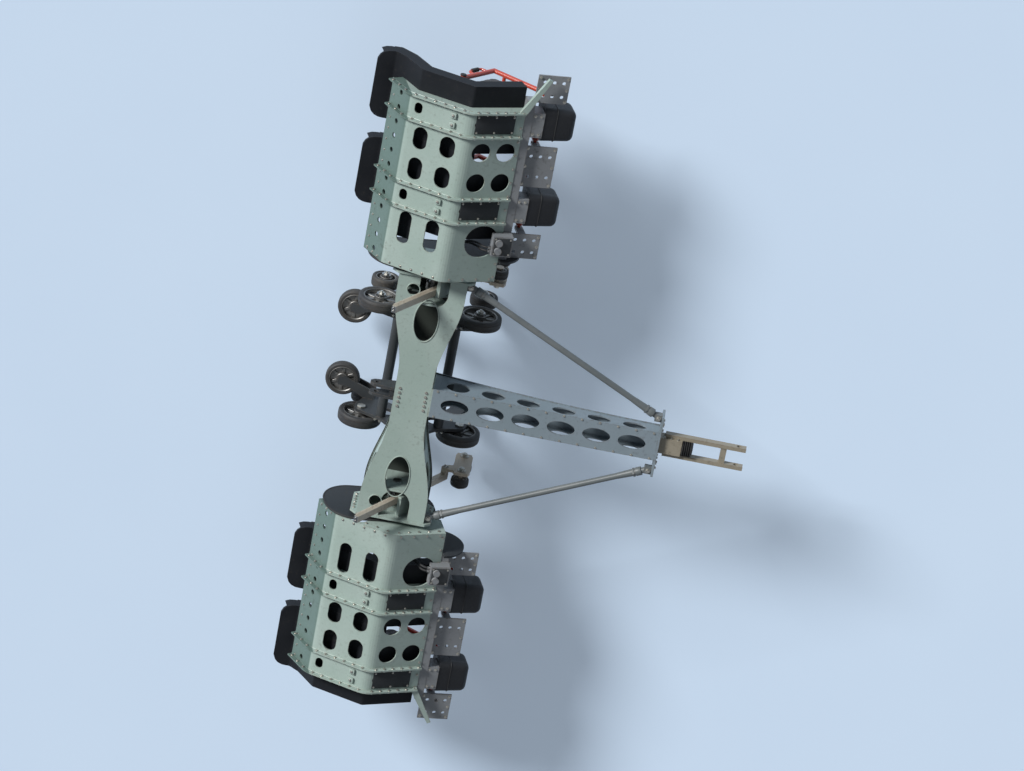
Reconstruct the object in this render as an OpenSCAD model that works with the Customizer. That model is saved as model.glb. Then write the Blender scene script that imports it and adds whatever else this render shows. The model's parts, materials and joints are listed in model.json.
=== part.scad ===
// Coaster car with a cross wing, two twin-seat pods that turn about the wing's
// axis, a tongue to the next car and a rack and pinion drive in each wing end.
// +X runs along the tongue, +Y across the car to its left, +Z up. Millimetres.
// The car stands on its four lower wheels, the pods turned with their backs up.

/* [Overall] */
// Width across the outermost shoulder plates
car_w = 6100; // [6000:10:6200]
// Height of the seat axis above the floor
hub_z = 1000; // [990:5:1050]
// Distance between the two seats of one pod
seat_pitch = 775; // [755:5:790]
// Centre of the outer seat to the outermost edge of the car
seat_to_edge = 430; // [415:5:445]

/* [Wing beam] */
// Centre of the car to the outer face of an end flange
wing_half = 1150; // [1130:5:1160]
// Width of the wing's plates at their ends
wing_end_w = 580; // [560:5:600]
// Width of the wing's plates in the middle
wing_mid_w = 310; // [290:5:340]
// Height of the wing over its two plates
wing_h = 400; // [380:5:410]
// Thickness of the top and bottom plates
wing_plate_t = 16; // [12:1:20]
// Thickness of the front and rear webs
web_t = 12; // [8:1:16]
// Overhang of the plates past the webs
web_inset = 18; // [10:1:30]
// Distance from the middle at which the plates begin to widen
flare_start = 240; // [200:10:300]
// Distance from the middle at which the plates reach their full width
flare_end = 960; // [900:10:1000]
// Width of an end flange
flange_w = 700; // [680:5:720]
// Height of an end flange
flange_h = 440; // [420:5:460]
// Thickness of an end flange
flange_t = 20; // [16:1:24]
// Distance from the middle to a tall opening in the wing
wing_hole_y = 735; // [700:5:760]
// Length of a tall opening
wing_hole_len = 380; // [300:5:400]
// Width of a tall opening
wing_hole_w = 200; // [160:5:220]

/* [Seat axis] */
// Radius of the journal in an end flange
journal_r = 55; // [50:1:60]
// Radius of the inner journal
inner_journal_r = 35; // [30:1:40]
// Radial clearance of a running fit
fit = 0.05; // [0.03:0.01:0.1]
// Gap between the end flange and the pod's hub drum
drum_gap = 8; // [6:1:12]
// Radius of the hub drum
drum_r = 120; // [100:5:140]
// Axial length of the hub drum
drum_t = 22; // [18:1:30]

/* [Rack and pinion] */
// Tooth module
tooth_module = 6; // [5:1:6]
// Teeth on the pinion
pinion_teeth = 20; // [19:1:21]
// Face width of the pinion and the rack
face_w = 60; // [40:2:66]
// Distance from the middle of the car to the middle of the rack
rack_y = 985; // [975:1:995]
// Length of the rack above the seat axis
rack_up = 690; // [600:10:740]
// Length of the rack below the seat axis
rack_down = 640; // [630:1:645]
// Lean of the rack towards the rear
rack_tilt = 30; // [28:1:32]
// Thickness of the rack behind its tooth roots
rack_back = 38; // [30:1:45]
// Backlash taken off each tooth flank
backlash = 0.6; // [0.4:0.1:0.9]
// Sliding clearance of the rack in its guide
slide_gap = 0.5; // [0.3:0.1:0.8]

/* [Tongue] */
// Centre of the car to the far face of the tongue's end plate
tongue_len = 2120; // [2080:10:2160]
// Width of the tongue's top plate
tongue_w = 260; // [240:5:280]
// Depth of the tongue at the wing
tongue_root_h = 360; // [320:5:365]
// Depth of the tongue at its end plate
tongue_tip_h = 190; // [160:5:220]
// Thickness of the tongue's plates
tongue_t = 12; // [10:1:16]
// Width of the tongue's end plate
end_plate_w = 560; // [530:5:580]
// Number of oval openings along the tongue
tongue_holes = 6; // [5:1:6]
// Radius of a tie rod
tie_r = 26; // [20:1:30]
// Length of the coupling beyond the end plate
coupler_len = 730; // [680:10:780]
// Radius of the coupling pin's hole
coupler_pin_r = 20; // [16:1:24]

/* [Wheels] */
// Distance from the middle of the car to the middle of a running rail
rail_y = 550; // [540:5:560]
// Radius of a running rail
rail_r = 55; // [50:1:60]
// Half of the wheelbase
half_base = 430; // [410:5:450]
// Radius of a road wheel
road_r = 190; // [180:5:195]
// Radius of an upstop wheel
stop_r = 121; // [115:1:125]
// Radius of a side wheel
side_r = 150; // [130:5:155]
// Tread width of the road and upstop wheels
wheel_w = 96; // [80:2:100]
// Tread width of a side wheel
side_w = 80; // [70:2:86]
// Radius of a wheel axle
axle_r = 25; // [20:1:30]
// Thickness of a wheel carrier plate
carrier_t = 26; // [20:1:30]
// Distance from the middle to a cross tube
cross_x = 250; // [230:5:270]
// Height of the cross tubes above the floor
cross_z = 640; // [600:5:680]
// Radius of a cross tube
cross_r = 42; // [36:1:48]

/* [Rail follower] */
// Radius of a follower roller
roller_r = 80; // [70:5:85]
// Tread width of a follower roller
roller_w = 80; // [60:5:90]
// Radius of the control rail that the rollers hold
control_r = 65; // [60:1:70]
// Height of the control rail above the floor
control_z = 380; // [375:1:385]
// Thickness of the follower's plate
follower_t = 30; // [24:1:32]
// Distance from the seat axis to the rollers' axles
roller_x = 520; // [510:5:530]

/* [Pod shell] */
// Gap between the end flange and the pod's guard panel
pod_gap = 30; // [30:1:40]
// Wall of the pressed shell
shell_t = 12; // [8:1:14]
// Depth of the ribs under the shell
rib_d = 80; // [60:5:90]
// Height of the band flanges over the shell
band_h = 42; // [30:2:50]
// Width of a band over its two flanges
band_w = 230; // [200:5:250]
// Thickness of a band flange
band_t = 14; // [10:1:18]
// Bending radius between the shell's flats
bend_r = 130; // [100:5:160]
// Turn of the pods about the seat axis as they stand, noses up
pod_lean = 16; // [12:1:18]
// Depth of the shell's fall from the hips to the shoulders
back_fall = 100; // [80:5:110]
// Thickness of the guard panel
guard_t = 15; // [10:1:20]
// Length of the guard panel
guard_l = 960; // [900:10:980]
// Height of the guard panel
guard_h = 600; // [580:10:620]

/* [Seats] */
// Width of a seat bucket
seat_w = 600; // [560:5:620]
// Thickness of the bucket's wall
bucket_t = 22; // [16:1:26]
// Height of the bucket's side walls
bolster_h = 105; // [80:5:120]
// Thickness of the seat pad
pad_t = 66; // [50:2:80]
// Width of the seat pad
pad_w = 420; // [380:5:440]
// Width of a headrest
headrest_w = 300; // [270:5:310]
// Distance from the seat axis to a headrest
headrest_x = 600; // [590:5:610]
// Length of a headrest
headrest_len = 276; // [250:2:290]
// Distance from the seat axis to the far edge of the shoulder plates
plate_end = 770; // [750:5:780]
// Thickness of the shoulder plates
plate_t = 16; // [12:1:20]

/* [Harness] */
// Half of the distance between the harness tubes of a seat
harness_half = 200; // [195:1:205]
// Radius of a harness tube
tube_r = 21; // [18:1:22]
// Radius of a harness hinge pin
pin_r = 15; // [12:1:18]

/* [Hidden] */
// the lap bar runs on past the side tubes
lap_half = harness_half + tube_r + 8;
$fn = 64;
eps = 1;
// gap left between pieces that rest on each other
rest_gap = 0.3;
lap_r = tube_r + 3;
seat_y = [car_w / 2 - seat_to_edge - seat_pitch, car_w / 2 - seat_to_edge];

// Wing levels
wing_top = hub_z + wing_h / 2;
wing_bottom = hub_z - wing_h / 2;
plate_y = wing_half - flange_t;

// Gear sizes
pitch_r = tooth_module * pinion_teeth / 2;
tip_r = pitch_r + tooth_module;
root_r = pitch_r - 1.25 * tooth_module;
tooth_pitch = PI * tooth_module;
pressure = 20;
rack_tip_x = pitch_r - tooth_module;
rack_back_x = pitch_r + 1.25 * tooth_module + rack_back;

// Wheel levels: the upstop wheels stand on the floor under the rail
rail_z = 2 * stop_r + rail_r;
road_z = rail_z + rail_r + road_r;
stop_z = stop_r;
side_x = -half_base - 210;
side_y = rail_y - rail_r - side_r;
wheel_gap = 8;
carrier_y = rail_y - wheel_w / 2 - wheel_gap - carrier_t;
roller_y = rack_y + 15;
roller_top_z = control_z + control_r + roller_r;
roller_low_z = control_z - control_r - roller_r;

// Pod levels along Y
guard_y = wing_half + pod_gap;
shell_y = guard_y + guard_t;
shell_end = seat_y[1] + band_w / 2;

// The shell's flats as corners in X and Z about the seat axis, front edge first
hips = [-50, 400];
shoulder_x = 430;
end_over = 15;
back_slope = -back_fall / (shoulder_x - hips[0]);
shell_corners = [[-600, -200], [-500, 80], hips,
    hips + (shoulder_x + end_over - hips[0]) * [1, back_slope]];
seat_nose = [[-725, -345], [-575, -318]];
back_z = hips[1] - back_fall;

// Harness points in X and Z about the seat axis: hinge, apex, lap end
hinge = [620, back_z - 250];
harness_path = [hinge, [270, -335], [-40, -115]];

// The whole car's reach along X, which sets the origin under its middle
guard_mid = [-80, -150];
nose_end = seat_nose[0] + bucket_t * right_of(seat_nose[0], seat_nose[1]);
reach_min = min(side_x - side_r, nose_end[0] * cos(pod_lean) + nose_end[1] * sin(pod_lean));
reach_max = tongue_len + coupler_len;
origin_x = -(reach_min + reach_max) / 2;

// Places a piece in the car's frame: side is 1 for the left and -1 for the right
module in_car(side = 1) {
    translate([origin_x, 0, 0]) mirror([0, side < 0 ? 1 : 0, 0]) children();
}

// Draws on one side of the car with the origin on the seat axis
module at_hub(side) {
    in_car(side) translate([0, 0, hub_z]) children();
}

// Draws in the frame of a pod, which is turned about the seat axis
module in_pod(side) {
    at_hub(side) rotate([0, pod_lean, 0]) children();
}

// Extrudes a profile drawn in X and Z from y over a length along Y
module along_y(y, length) {
    translate([0, y + length, 0]) rotate([90, 0, 0]) linear_extrude(length) children();
}

// Extrudes a profile drawn in X and Y upwards from z
module slab(z, t) {
    translate([0, 0, z]) linear_extrude(t) children();
}

// A round bar between two points
module bar(a, b, r) {
    d = b - a;
    translate(a)
        rotate([0, acos(d[2] / norm(d)), atan2(d[1], d[0])])
            cylinder(h = norm(d), r = r);
}

// A box from its low corner to its high corner
module block(low, high) {
    translate(low) cube(high - low);
}

function ellipse(rx, ry, steps = 40) =
    [for (i = [0:steps - 1]) [rx * cos(360 * i / steps), ry * sin(360 * i / steps)]];

// Normal on the right of a step from a to b
function right_of(a, b) = let (d = b - a) [d[1], -d[0]] / norm(d);

// Corners of a path moved to its right by d, with mitred corners
function beside(path, d) = let (last = len(path) - 1) [
    for (i = [0:last])
        i == 0 ? path[0] + d * right_of(path[0], path[1])
        : i == last ? path[last] + d * right_of(path[last - 1], path[last])
        : let (n = right_of(path[i - 1], path[i]), m = right_of(path[i], path[i + 1]))
            path[i] + d * (n + m) / (1 + n * m)
];

// The same path with each inner corner rounded to about radius r
function bent(path, r, steps = 5) = let (last = len(path) - 1) concat(
    [path[0]],
    [for (i = [1:last - 1], s = [0:steps])
        let (
            u = (path[i] - path[i - 1]) / norm(path[i] - path[i - 1]),
            v = (path[i + 1] - path[i]) / norm(path[i + 1] - path[i]),
            turn = acos(min(1, u * v)),
            reach = r * tan(turn / 2),
            k = s / steps
        )
            (1 - k) * (1 - k) * (path[i] - reach * u)
            + 2 * k * (1 - k) * path[i] + k * k * (path[i] + reach * v)],
    [path[last]]
);

function reversed(list) = [for (i = [len(list) - 1:-1:0]) list[i]];

// Closed outline between two depths to the right of a bent path
function strip(path, near, far, r) = concat(
    bent(beside(path, near), max(r - near, 14)),
    reversed(bent(beside(path, far), max(r - far, 14)))
);

// Half width of the wing's plates at a distance from the middle, a smooth flare
function wing_half_w(y) = let (t = max(0, min(1, (abs(y) - flare_start) / (flare_end - flare_start))))
    wing_mid_w / 2 + (wing_end_w - wing_mid_w) / 2 * t * t * (3 - 2 * t);

wing_steps = 22;
function wing_side(inset) = [
    for (i = [-wing_steps:wing_steps]) let (y = plate_y * i / wing_steps) [wing_half_w(y) - inset, y]
];

// Outline of a wing plate seen from above, or of what lies inset from it
module wing_outline(inset = 0) {
    side = wing_side(inset);
    polygon(concat(side, reversed([for (p = side) [-p[0], p[1]]])));
}

// Turns a piece of the rack drive about the seat axis by the rack's lean
module leaning() {
    rotate([0, -rack_tilt, 0]) children();
}

// A point in X and Z turned by the rack's lean, as a place in the car
function leant(p) = [
    p[0] * cos(rack_tilt) - p[1] * sin(rack_tilt),
    hub_z + p[0] * sin(rack_tilt) + p[1] * cos(rack_tilt)
];

// Where a line along the rack at a depth n crosses a height z over the seat axis
function level_x(n, z) = (n - z * sin(rack_tilt)) / cos(rack_tilt);

// Arched notch in the wing's end through which the rack rises
notch_w = 250;
notch_x = 20;
module rack_notch() {
    arch_y = rack_y - face_w / 2 + 40;
    translate([notch_x, arch_y]) circle(r = notch_w / 2);
    translate([notch_x - notch_w / 2, arch_y]) square([notch_w, wing_half - arch_y]);
}

module wing_top_plate() in_car() color("#9fb3a2")
    slab(wing_top - wing_plate_t, wing_plate_t) difference() {
        wing_outline();
        for (s = [-1, 1]) scale([1, s]) {
            translate([0, wing_hole_y]) polygon(ellipse(wing_hole_w / 2, wing_hole_len / 2));
            translate([-150, 1000]) circle(r = 52);
            rack_notch();
        }
    }

// Slot for the leaning rack, from where its tips and its back cross the plate
slot_gap = 10;
slot_x = [
    level_x(rack_tip_x, wing_bottom + wing_plate_t - hub_z), level_x(rack_back_x, wing_bottom - hub_z)
];
module wing_bottom_plate() in_car() color("#8fa392")
    slab(wing_bottom, wing_plate_t) difference() {
        wing_outline();
        for (s = [-1, 1]) scale([1, s]) {
            translate([slot_x[0] - slot_gap, rack_y - face_w / 2 - slot_gap])
                square([slot_x[1] - slot_x[0] + 2 * slot_gap, face_w + 2 * slot_gap]);
        }
    }

// Front and rear webs follow the plates' edges, with oval openings
web_hole_y = [380, 800];
module wing_webs() in_car() color("#93a796")
    difference() {
        slab(wing_bottom + wing_plate_t, wing_h - 2 * wing_plate_t) difference() {
            wing_outline(web_inset);
            wing_outline(web_inset + web_t);
            translate([-wing_end_w, plate_y - eps]) square([2 * wing_end_w, 2 * eps]);
        }
        for (s = [-1, 1], y = web_hole_y)
            translate([0, s * y, hub_z]) rotate([0, 90, 0])
                linear_extrude(2 * wing_end_w, center = true) polygon(ellipse(115, 150));
    }

// End flanges with their bearing bosses and rack guides, and the inner bearing plates
boss_r = journal_r + 34;
boss_len = 46;
inner_plate_y = 870;
inner_plate_t = 20;
guide_h = 220;
guide_t = 36;
module hub_plates() color("#8b9d8f") for (s = [-1, 1]) in_car(s) translate([0, 0, hub_z]) {
    difference() {
        union() {
            along_y(plate_y, flange_t) polygon([
                [-flange_w / 2, -flange_h / 2 + 70], [-flange_w / 2 + 90, -flange_h / 2],
                [flange_w / 2 - 90, -flange_h / 2], [flange_w / 2, -flange_h / 2 + 70],
                [flange_w / 2, flange_h / 2 - 50], [flange_w / 2 - 50, flange_h / 2],
                [-flange_w / 2 + 50, flange_h / 2], [-flange_w / 2, flange_h / 2 - 50]
            ]);
            along_y(plate_y - boss_len, boss_len) circle(r = boss_r);
            leaning() block([rack_back_x + slide_gap, rack_y - face_w / 2 - 12, -guide_h / 2],
                [rack_back_x + slide_gap + guide_t, plate_y, guide_h / 2]);
        }
        along_y(plate_y - boss_len - eps, boss_len + flange_t + 2 * eps) circle(r = journal_r + fit);
    }
    difference() {
        along_y(inner_plate_y, inner_plate_t) difference() {
            square([2 * (wing_half_w(inner_plate_y) - web_inset - web_t - 4),
                wing_h - 2 * wing_plate_t], center = true);
            for (x = [-1, 1]) translate([x * 150, 0]) circle(r = 62);
        }
        along_y(inner_plate_y - eps, inner_plate_t + 2 * eps) circle(r = inner_journal_r + fit);
    }
}

// Depth of the tongue below its top plate, an arch from the wing to the end plate
tongue_x = wing_mid_w / 2;
plate_x = tongue_len - 20;
function tongue_depth(x) = let (t = (x - tongue_x) / (plate_x - tongue_x))
    tongue_tip_h + (tongue_root_h - tongue_tip_h) * (1 - t) * (1 - t);
tongue_steps = 20;
function tongue_edge(drop) = [
    for (i = [0:tongue_steps]) let (x = tongue_x + (plate_x - tongue_x) * i / tongue_steps)
        [x, -tongue_depth(x) - drop]
];
tongue_pitch = (plate_x - tongue_x - 120) / tongue_holes;
module tongue_girder() in_car() color("#8b9d8f") translate([0, 0, wing_top]) {
    slab(-tongue_t, tongue_t) difference() {
        translate([tongue_x, -tongue_w / 2]) square([plate_x - tongue_x, tongue_w]);
        for (i = [0:tongue_holes - 1])
            translate([tongue_x + 60 + (i + 0.5) * tongue_pitch, 0]) polygon(ellipse(tongue_pitch * 0.39, 62));
    }
    for (s = [-1, 1]) difference() {
        translate([0, s * (tongue_w / 2 - 24), 0]) along_y(-tongue_t / 2, tongue_t)
            polygon(concat([[tongue_x, -tongue_t], [plate_x, -tongue_t]], reversed(tongue_edge(0))));
        for (i = [0:tongue_holes - 1]) let (
            x = tongue_x + 60 + (i + 0.5) * tongue_pitch,
            d = tongue_depth(x)
        )
            translate([x, s * (tongue_w / 2 - 24), -d / 2 - 2]) along_y(-tongue_w / 4, tongue_w / 2)
                polygon(ellipse(tongue_pitch * 0.33, d * 0.27));
    }
    along_y(-tongue_w / 2 + 10, tongue_w - 20)
        polygon(concat(tongue_edge(0), reversed(tongue_edge(tongue_t))));
}

end_plate_h = tongue_tip_h + 40;
module tongue_end_plate() in_car() color("#8b9d8f")
    translate([0, 0, wing_top - end_plate_h + 10]) along_y_x(plate_x, tongue_len - plate_x)
        polygon([
            [-end_plate_w / 2, 60], [-end_plate_w / 2 + 110, 0], [end_plate_w / 2 - 110, 0],
            [end_plate_w / 2, 60], [end_plate_w / 2, end_plate_h], [-end_plate_w / 2, end_plate_h]
        ]);

// Extrudes a profile drawn in Y and Z from x over a length along X
module along_y_x(x, length) {
    translate([x, 0, 0]) rotate([90, 0, 90]) linear_extrude(length) children();
}

// Coupling: a knuckle on the end plate and two bars that reach the next car
coupler_z = wing_top - 100;
bar_y = 86;
bar_t = 34;
bar_h = 64;
knuckle_len = 190;
module coupler() in_car() color("#cbb98a") translate([0, 0, coupler_z]) difference() {
    union() {
        block([tongue_len, -bar_y + bar_t / 2, -62], [tongue_len + knuckle_len, bar_y - bar_t / 2, 62]);
        for (s = [-1, 1]) translate([0, s * bar_y, 0])
            block([tongue_len + 40, -bar_t / 2, -bar_h / 2], [reach_max, bar_t / 2, bar_h / 2]);
        block([reach_max - 210, -bar_y, -24], [reach_max - 160, bar_y, 24]);
    }
    translate([reach_max - 60, 0, 0]) along_y(-150, 300) circle(r = coupler_pin_r);
}

// Hitch on the rear web that takes the bars of the car behind
hitch_len = 215;
module hitch() in_car() color("#6f7a70") translate([0, 0, coupler_z]) difference() {
    union() {
        for (s = [-1, 1]) translate([0, s * 44, 0]) along_y(-12, 24) polygon([
            [-wing_mid_w / 2 + web_inset, -95], [-wing_mid_w / 2 - hitch_len + 30, -48],
            [-wing_mid_w / 2 - hitch_len, -20], [-wing_mid_w / 2 - hitch_len, 20],
            [-wing_mid_w / 2 - hitch_len + 30, 48], [-wing_mid_w / 2 + web_inset, 70]
        ]);
        block([-wing_mid_w / 2 - 40, -44, -70], [-wing_mid_w / 2 + web_inset, 44, 50]);
    }
    translate([-wing_mid_w / 2 - hitch_len + 60, 0, 0]) along_y(-70, 140) circle(r = coupler_pin_r);
}

// Tie rods from the wing's ends to the ends of the tongue's end plate
tie_wing = [320, 1092, wing_top - 70];
tie_tongue = [plate_x - 30, end_plate_w / 2 - 32, wing_top - 60];
module tie_rods() color("#7f8c84") for (s = [-1, 1]) in_car(s) {
    bar(tie_wing, tie_tongue, tie_r);
    block(tie_wing - [28, 32, 34], [tie_wing[0] + 28, plate_y, tie_wing[2] + 34]);
    block(tie_tongue - [32, 30, 34], [plate_x, tie_tongue[1] + 30, tie_tongue[2] + 34]);
}

// Wheel carriers: a plate inside each running rail, with lightening holes
carrier_outline = [
    [-170, wing_bottom - 18], [170, wing_bottom - 18], [250, 690], [half_base + 40, road_z + 55],
    [half_base + 62, road_z - 30], [half_base + 20, 400], [half_base - 12, 300],
    [half_base + 44, stop_z + 50], [half_base + 40, 55], [half_base - 50, 50],
    [half_base - 90, 180], [half_base - 170, 330], [130, 395], [-130, 395],
    [-half_base + 170, 330], [-half_base + 90, 180], [-half_base + 50, 50],
    [-half_base - 40, 55], [-half_base - 44, stop_z + 50], [-half_base + 12, 300],
    [-half_base - 20, 400], [-half_base - 62, road_z - 30], [-half_base - 40, road_z + 55],
    [-250, 690]
];
fork_t = 16;
fork_z = [rail_z - side_w / 2 - 6 - fork_t, rail_z + side_w / 2 + 6];
module wheel_carriers() color("#3c4244") for (s = [-1, 1]) in_car(s) {
    difference() {
        along_y(carrier_y, carrier_t) polygon(carrier_outline);
        for (x = [-210, 0, 210]) translate([x, 0, 540]) along_y(carrier_y - eps, carrier_t + 2 * eps)
            circle(r = x == 0 ? 78 : 62);
    }
    slab(wing_bottom - 18, 18) translate([-170, carrier_y - 50]) square([340, carrier_t + 90]);
    for (z = fork_z) slab(z, fork_t) difference() {
        polygon([
            [-half_base + 90, carrier_y], [-half_base + 90, carrier_y - 70],
            [side_x + 30, side_y - 42], [side_x - 30, side_y - 42], [side_x - 42, side_y],
            [side_x - 30, side_y + 42], [side_x + 60, side_y + 46], [-half_base - 10, carrier_y]
        ]);
    }
}

cross_wall = 8;
module cross_tubes() in_car() color("#3c4244") for (x = [-cross_x, cross_x])
    translate([x, 0, cross_z]) along_y(-carrier_y, 2 * carrier_y) difference() {
        circle(r = cross_r);
        circle(r = cross_r - cross_wall);
    }

// Stub axles with end caps, and the upright pins of the side wheels
cap_t = 10;
module wheel_axles() color("#8e9296") for (s = [-1, 1]) in_car(s) {
    for (x = [-half_base, half_base], z = [stop_z, road_z]) translate([x, 0, z]) {
        along_y(carrier_y + carrier_t, wheel_w + 2 * wheel_gap) circle(r = axle_r);
        along_y(carrier_y + carrier_t + wheel_w + 2 * wheel_gap, cap_t) circle(r = axle_r + 15);
    }
    translate([side_x, side_y, fork_z[0] + fork_t]) cylinder(h = side_w + 12, r = axle_r);
}

// Wheel with a crowned tread, a dished web and a bored hub, turned about Z
module wheel(r, w, bore) {
    hub = bore + 26;
    rotate_extrude() polygon([
        [bore + fit, -w / 2], [hub, -w / 2], [hub + 8, -w / 2 + 14], [r * 0.68, -w / 2 + 18],
        [r * 0.72, -w / 2 + 4], [r - 14, -w / 2], [r - 3, -w / 2 + 12], [r, -w / 6], [r, w / 6],
        [r - 3, w / 2 - 12], [r - 14, w / 2], [r * 0.72, w / 2 - 4], [r * 0.68, w / 2 - 18],
        [hub + 8, w / 2 - 14], [hub, w / 2], [bore + fit, w / 2]
    ]);
}

module rail_wheel(side, x, z, r) in_car(side) color("#2a2c2e")
    translate([x, rail_y, z]) rotate([90, 0, 0]) wheel(r, wheel_w, axle_r);

module side_wheel(side) in_car(side) color("#2a2c2e")
    translate([side_x, side_y, rail_z]) wheel(side_r, side_w, axle_r);

// Polar angle from a tooth's middle to its flank at radius r, an involute
base_r = pitch_r * cos(pressure);
tooth_half = tooth_pitch / 4 - backlash;
function inv(a) = tan(a) - a * PI / 180;
function flank(r) = (tooth_half / pitch_r + inv(pressure) - inv(acos(min(1, base_r / r)))) * 180 / PI;
function polar(r, a) = [r * cos(a), r * sin(a)];
flank_r = [base_r, (base_r + pitch_r) / 2, pitch_r, (pitch_r + tip_r) / 2, tip_r];
module pinion_outline() polygon([
    for (k = [0:pinion_teeth - 1]) let (a = k * 360 / pinion_teeth) each concat(
        [polar(root_r, a - flank(base_r) - 1)],
        [for (r = flank_r) polar(r, a - flank(r))],
        [for (i = [len(flank_r) - 1:-1:0]) polar(flank_r[i], a + flank(flank_r[i]))],
        [polar(root_r, a + flank(base_r) + 1)]
    )
]);

// Rack outline with its teeth towards the pinion and a gap facing it at rest
rack_root_x = pitch_r + 1.25 * tooth_module;
module rack_outline() {
    first = -floor((rack_down - tooth_pitch) / tooth_pitch);
    last = floor((rack_up - tooth_pitch) / tooth_pitch);
    tip = tooth_half - tooth_module * tan(pressure);
    root = tooth_half + 1.25 * tooth_module * tan(pressure);
    polygon(concat(
        [[rack_back_x, -rack_down], [rack_root_x, -rack_down]],
        [for (k = [first:last]) let (z = (k - 0.5) * tooth_pitch) each
            [[rack_root_x, z - root], [rack_tip_x, z - tip], [rack_tip_x, z + tip], [rack_root_x, z + root]]],
        [[rack_root_x, rack_up], [rack_back_x, rack_up]]
    ));
}

// Rack with the foot and plate that carry the follower rollers
foot_h = 45;
bracket_y = rack_y - face_w / 2 - 30;
arm = 75;
arm_end = 50;
module rack(side) in_car(side) color("#b3a184") {
    translate([0, 0, hub_z]) leaning() {
        along_y(rack_y - face_w / 2, face_w) rack_outline();
        block([rack_tip_x, bracket_y - eps, -rack_down], [rack_back_x, rack_y + face_w / 2, foot_h - rack_down]);
    }
    along_y(bracket_y - follower_t, follower_t) polygon([
        leant([rack_tip_x, -rack_down]), leant([rack_tip_x, foot_h - rack_down]),
        leant([rack_back_x, foot_h - rack_down]),
        [roller_x - arm, leant([rack_back_x, foot_h - rack_down])[1]],
        [roller_x - arm + 15, roller_top_z + arm_end], [roller_x + arm - 15, roller_top_z + arm_end],
        [roller_x + arm, roller_top_z], [roller_x + arm, roller_low_z],
        [roller_x + arm - 15, roller_low_z - arm_end], [roller_x - arm + 15, roller_low_z - arm_end],
        [roller_x - arm, roller_low_z], [roller_x - arm, leant([rack_back_x, -rack_down])[1] - arm_end]
    ]);
    for (z = [roller_low_z, roller_top_z]) translate([roller_x, 0, z]) {
        along_y(bracket_y - eps, roller_y + roller_w / 2 + 8 - bracket_y + eps) circle(r = axle_r - 5);
        along_y(roller_y + roller_w / 2 + 8, cap_t) circle(r = axle_r + 8);
    }
}

module follower_wheel(side, z) in_car(side) color("#2a2c2e")
    translate([roller_x, roller_y, z]) rotate([90, 0, 0]) wheel(roller_r, roller_w, axle_r - 5);

// Shaft of a pod: inner journal, pinion, outer journal and hub drum
collar_r = 46;
module pod_shaft(side) at_hub(side) color("#8e9296") {
    along_y(inner_plate_y - 8, inner_plate_t + 20) circle(r = inner_journal_r);
    along_y(inner_plate_y + inner_plate_t + 6, plate_y - boss_len - inner_plate_y - inner_plate_t - 6)
        circle(r = collar_r);
    along_y(rack_y - face_w / 2, face_w) rotate(rack_tilt) pinion_outline();
    along_y(plate_y - boss_len - 4, boss_len + flange_t + drum_gap + 4 + eps) circle(r = journal_r);
    along_y(guard_y - drum_t, drum_t) circle(r = drum_r);
}

// Places a cutter on one of the shell's flats, at a share of its width
function flat_angle(i) = let (d = shell_corners[i + 1] - shell_corners[i]) atan2(d[1], d[0]);
module on_flat(i, share, y) {
    p = shell_corners[i] + share * (shell_corners[i + 1] - shell_corners[i]);
    translate([p[0], y, p[1]]) rotate([0, -flat_angle(i), 0]) children();
}

// Oval cutter with round ends, w along the flat and l along the pod
module oval_cut(w, l) {
    r = min(w, l) / 2;
    linear_extrude(6 * shell_t, center = true) {
        for (s = [-1, 1]) translate([s * (w / 2 - r), s * (l / 2 - r)]) circle(r = r);
        square([max(w - 2 * r, eps), l > w ? l - 2 * r : l], center = true);
        square([w > l ? w - 2 * r : w, max(l - 2 * r, eps)], center = true);
    }
}

// Openings of the shell: flat, share of the flat, place along Y, width, length
inner_bay = [shell_y + 225, seat_y[0] - band_w / 2 - 25];
outer_bay = [seat_y[0] + band_w / 2, seat_y[1] - band_w / 2];
inner_mid = (inner_bay[0] + inner_bay[1]) / 2;
inner_len = inner_bay[1] - inner_bay[0];
outer_mid = (outer_bay[0] + outer_bay[1]) / 2;
outer_row = (outer_bay[1] - outer_bay[0]) / 4;
shell_holes = [
    [1, 0.27, inner_mid, 110, inner_len],
    [1, 0.72, inner_mid, 120, inner_len],
    [2, 0.60, inner_mid, 300, inner_len],
    [1, 0.27, outer_mid - outer_row, 125, 195],
    [1, 0.27, outer_mid + outer_row, 125, 195],
    [1, 0.72, outer_mid - outer_row, 135, 185],
    [1, 0.72, outer_mid + outer_row, 135, 185],
    [2, 0.30, outer_mid - outer_row, 165, 165],
    [2, 0.30, outer_mid + outer_row, 165, 165],
    [2, 0.74, outer_mid - outer_row, 165, 165],
    [2, 0.74, outer_mid + outer_row, 165, 165]
];
band_slots = [[1, 0.16, 70, 95], [2, 0.16, 60, 60], [2, 0.40, 60, 60], [2, 0.64, 60, 60]];
edge_holes = 12;

// Cuts a piece of the shell off upright at the shoulders
module to_shoulders() difference() {
    children();
    block([shoulder_x, 0, -hub_z], [shoulder_x + 4 * end_over, car_w, hub_z]);
}

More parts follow.
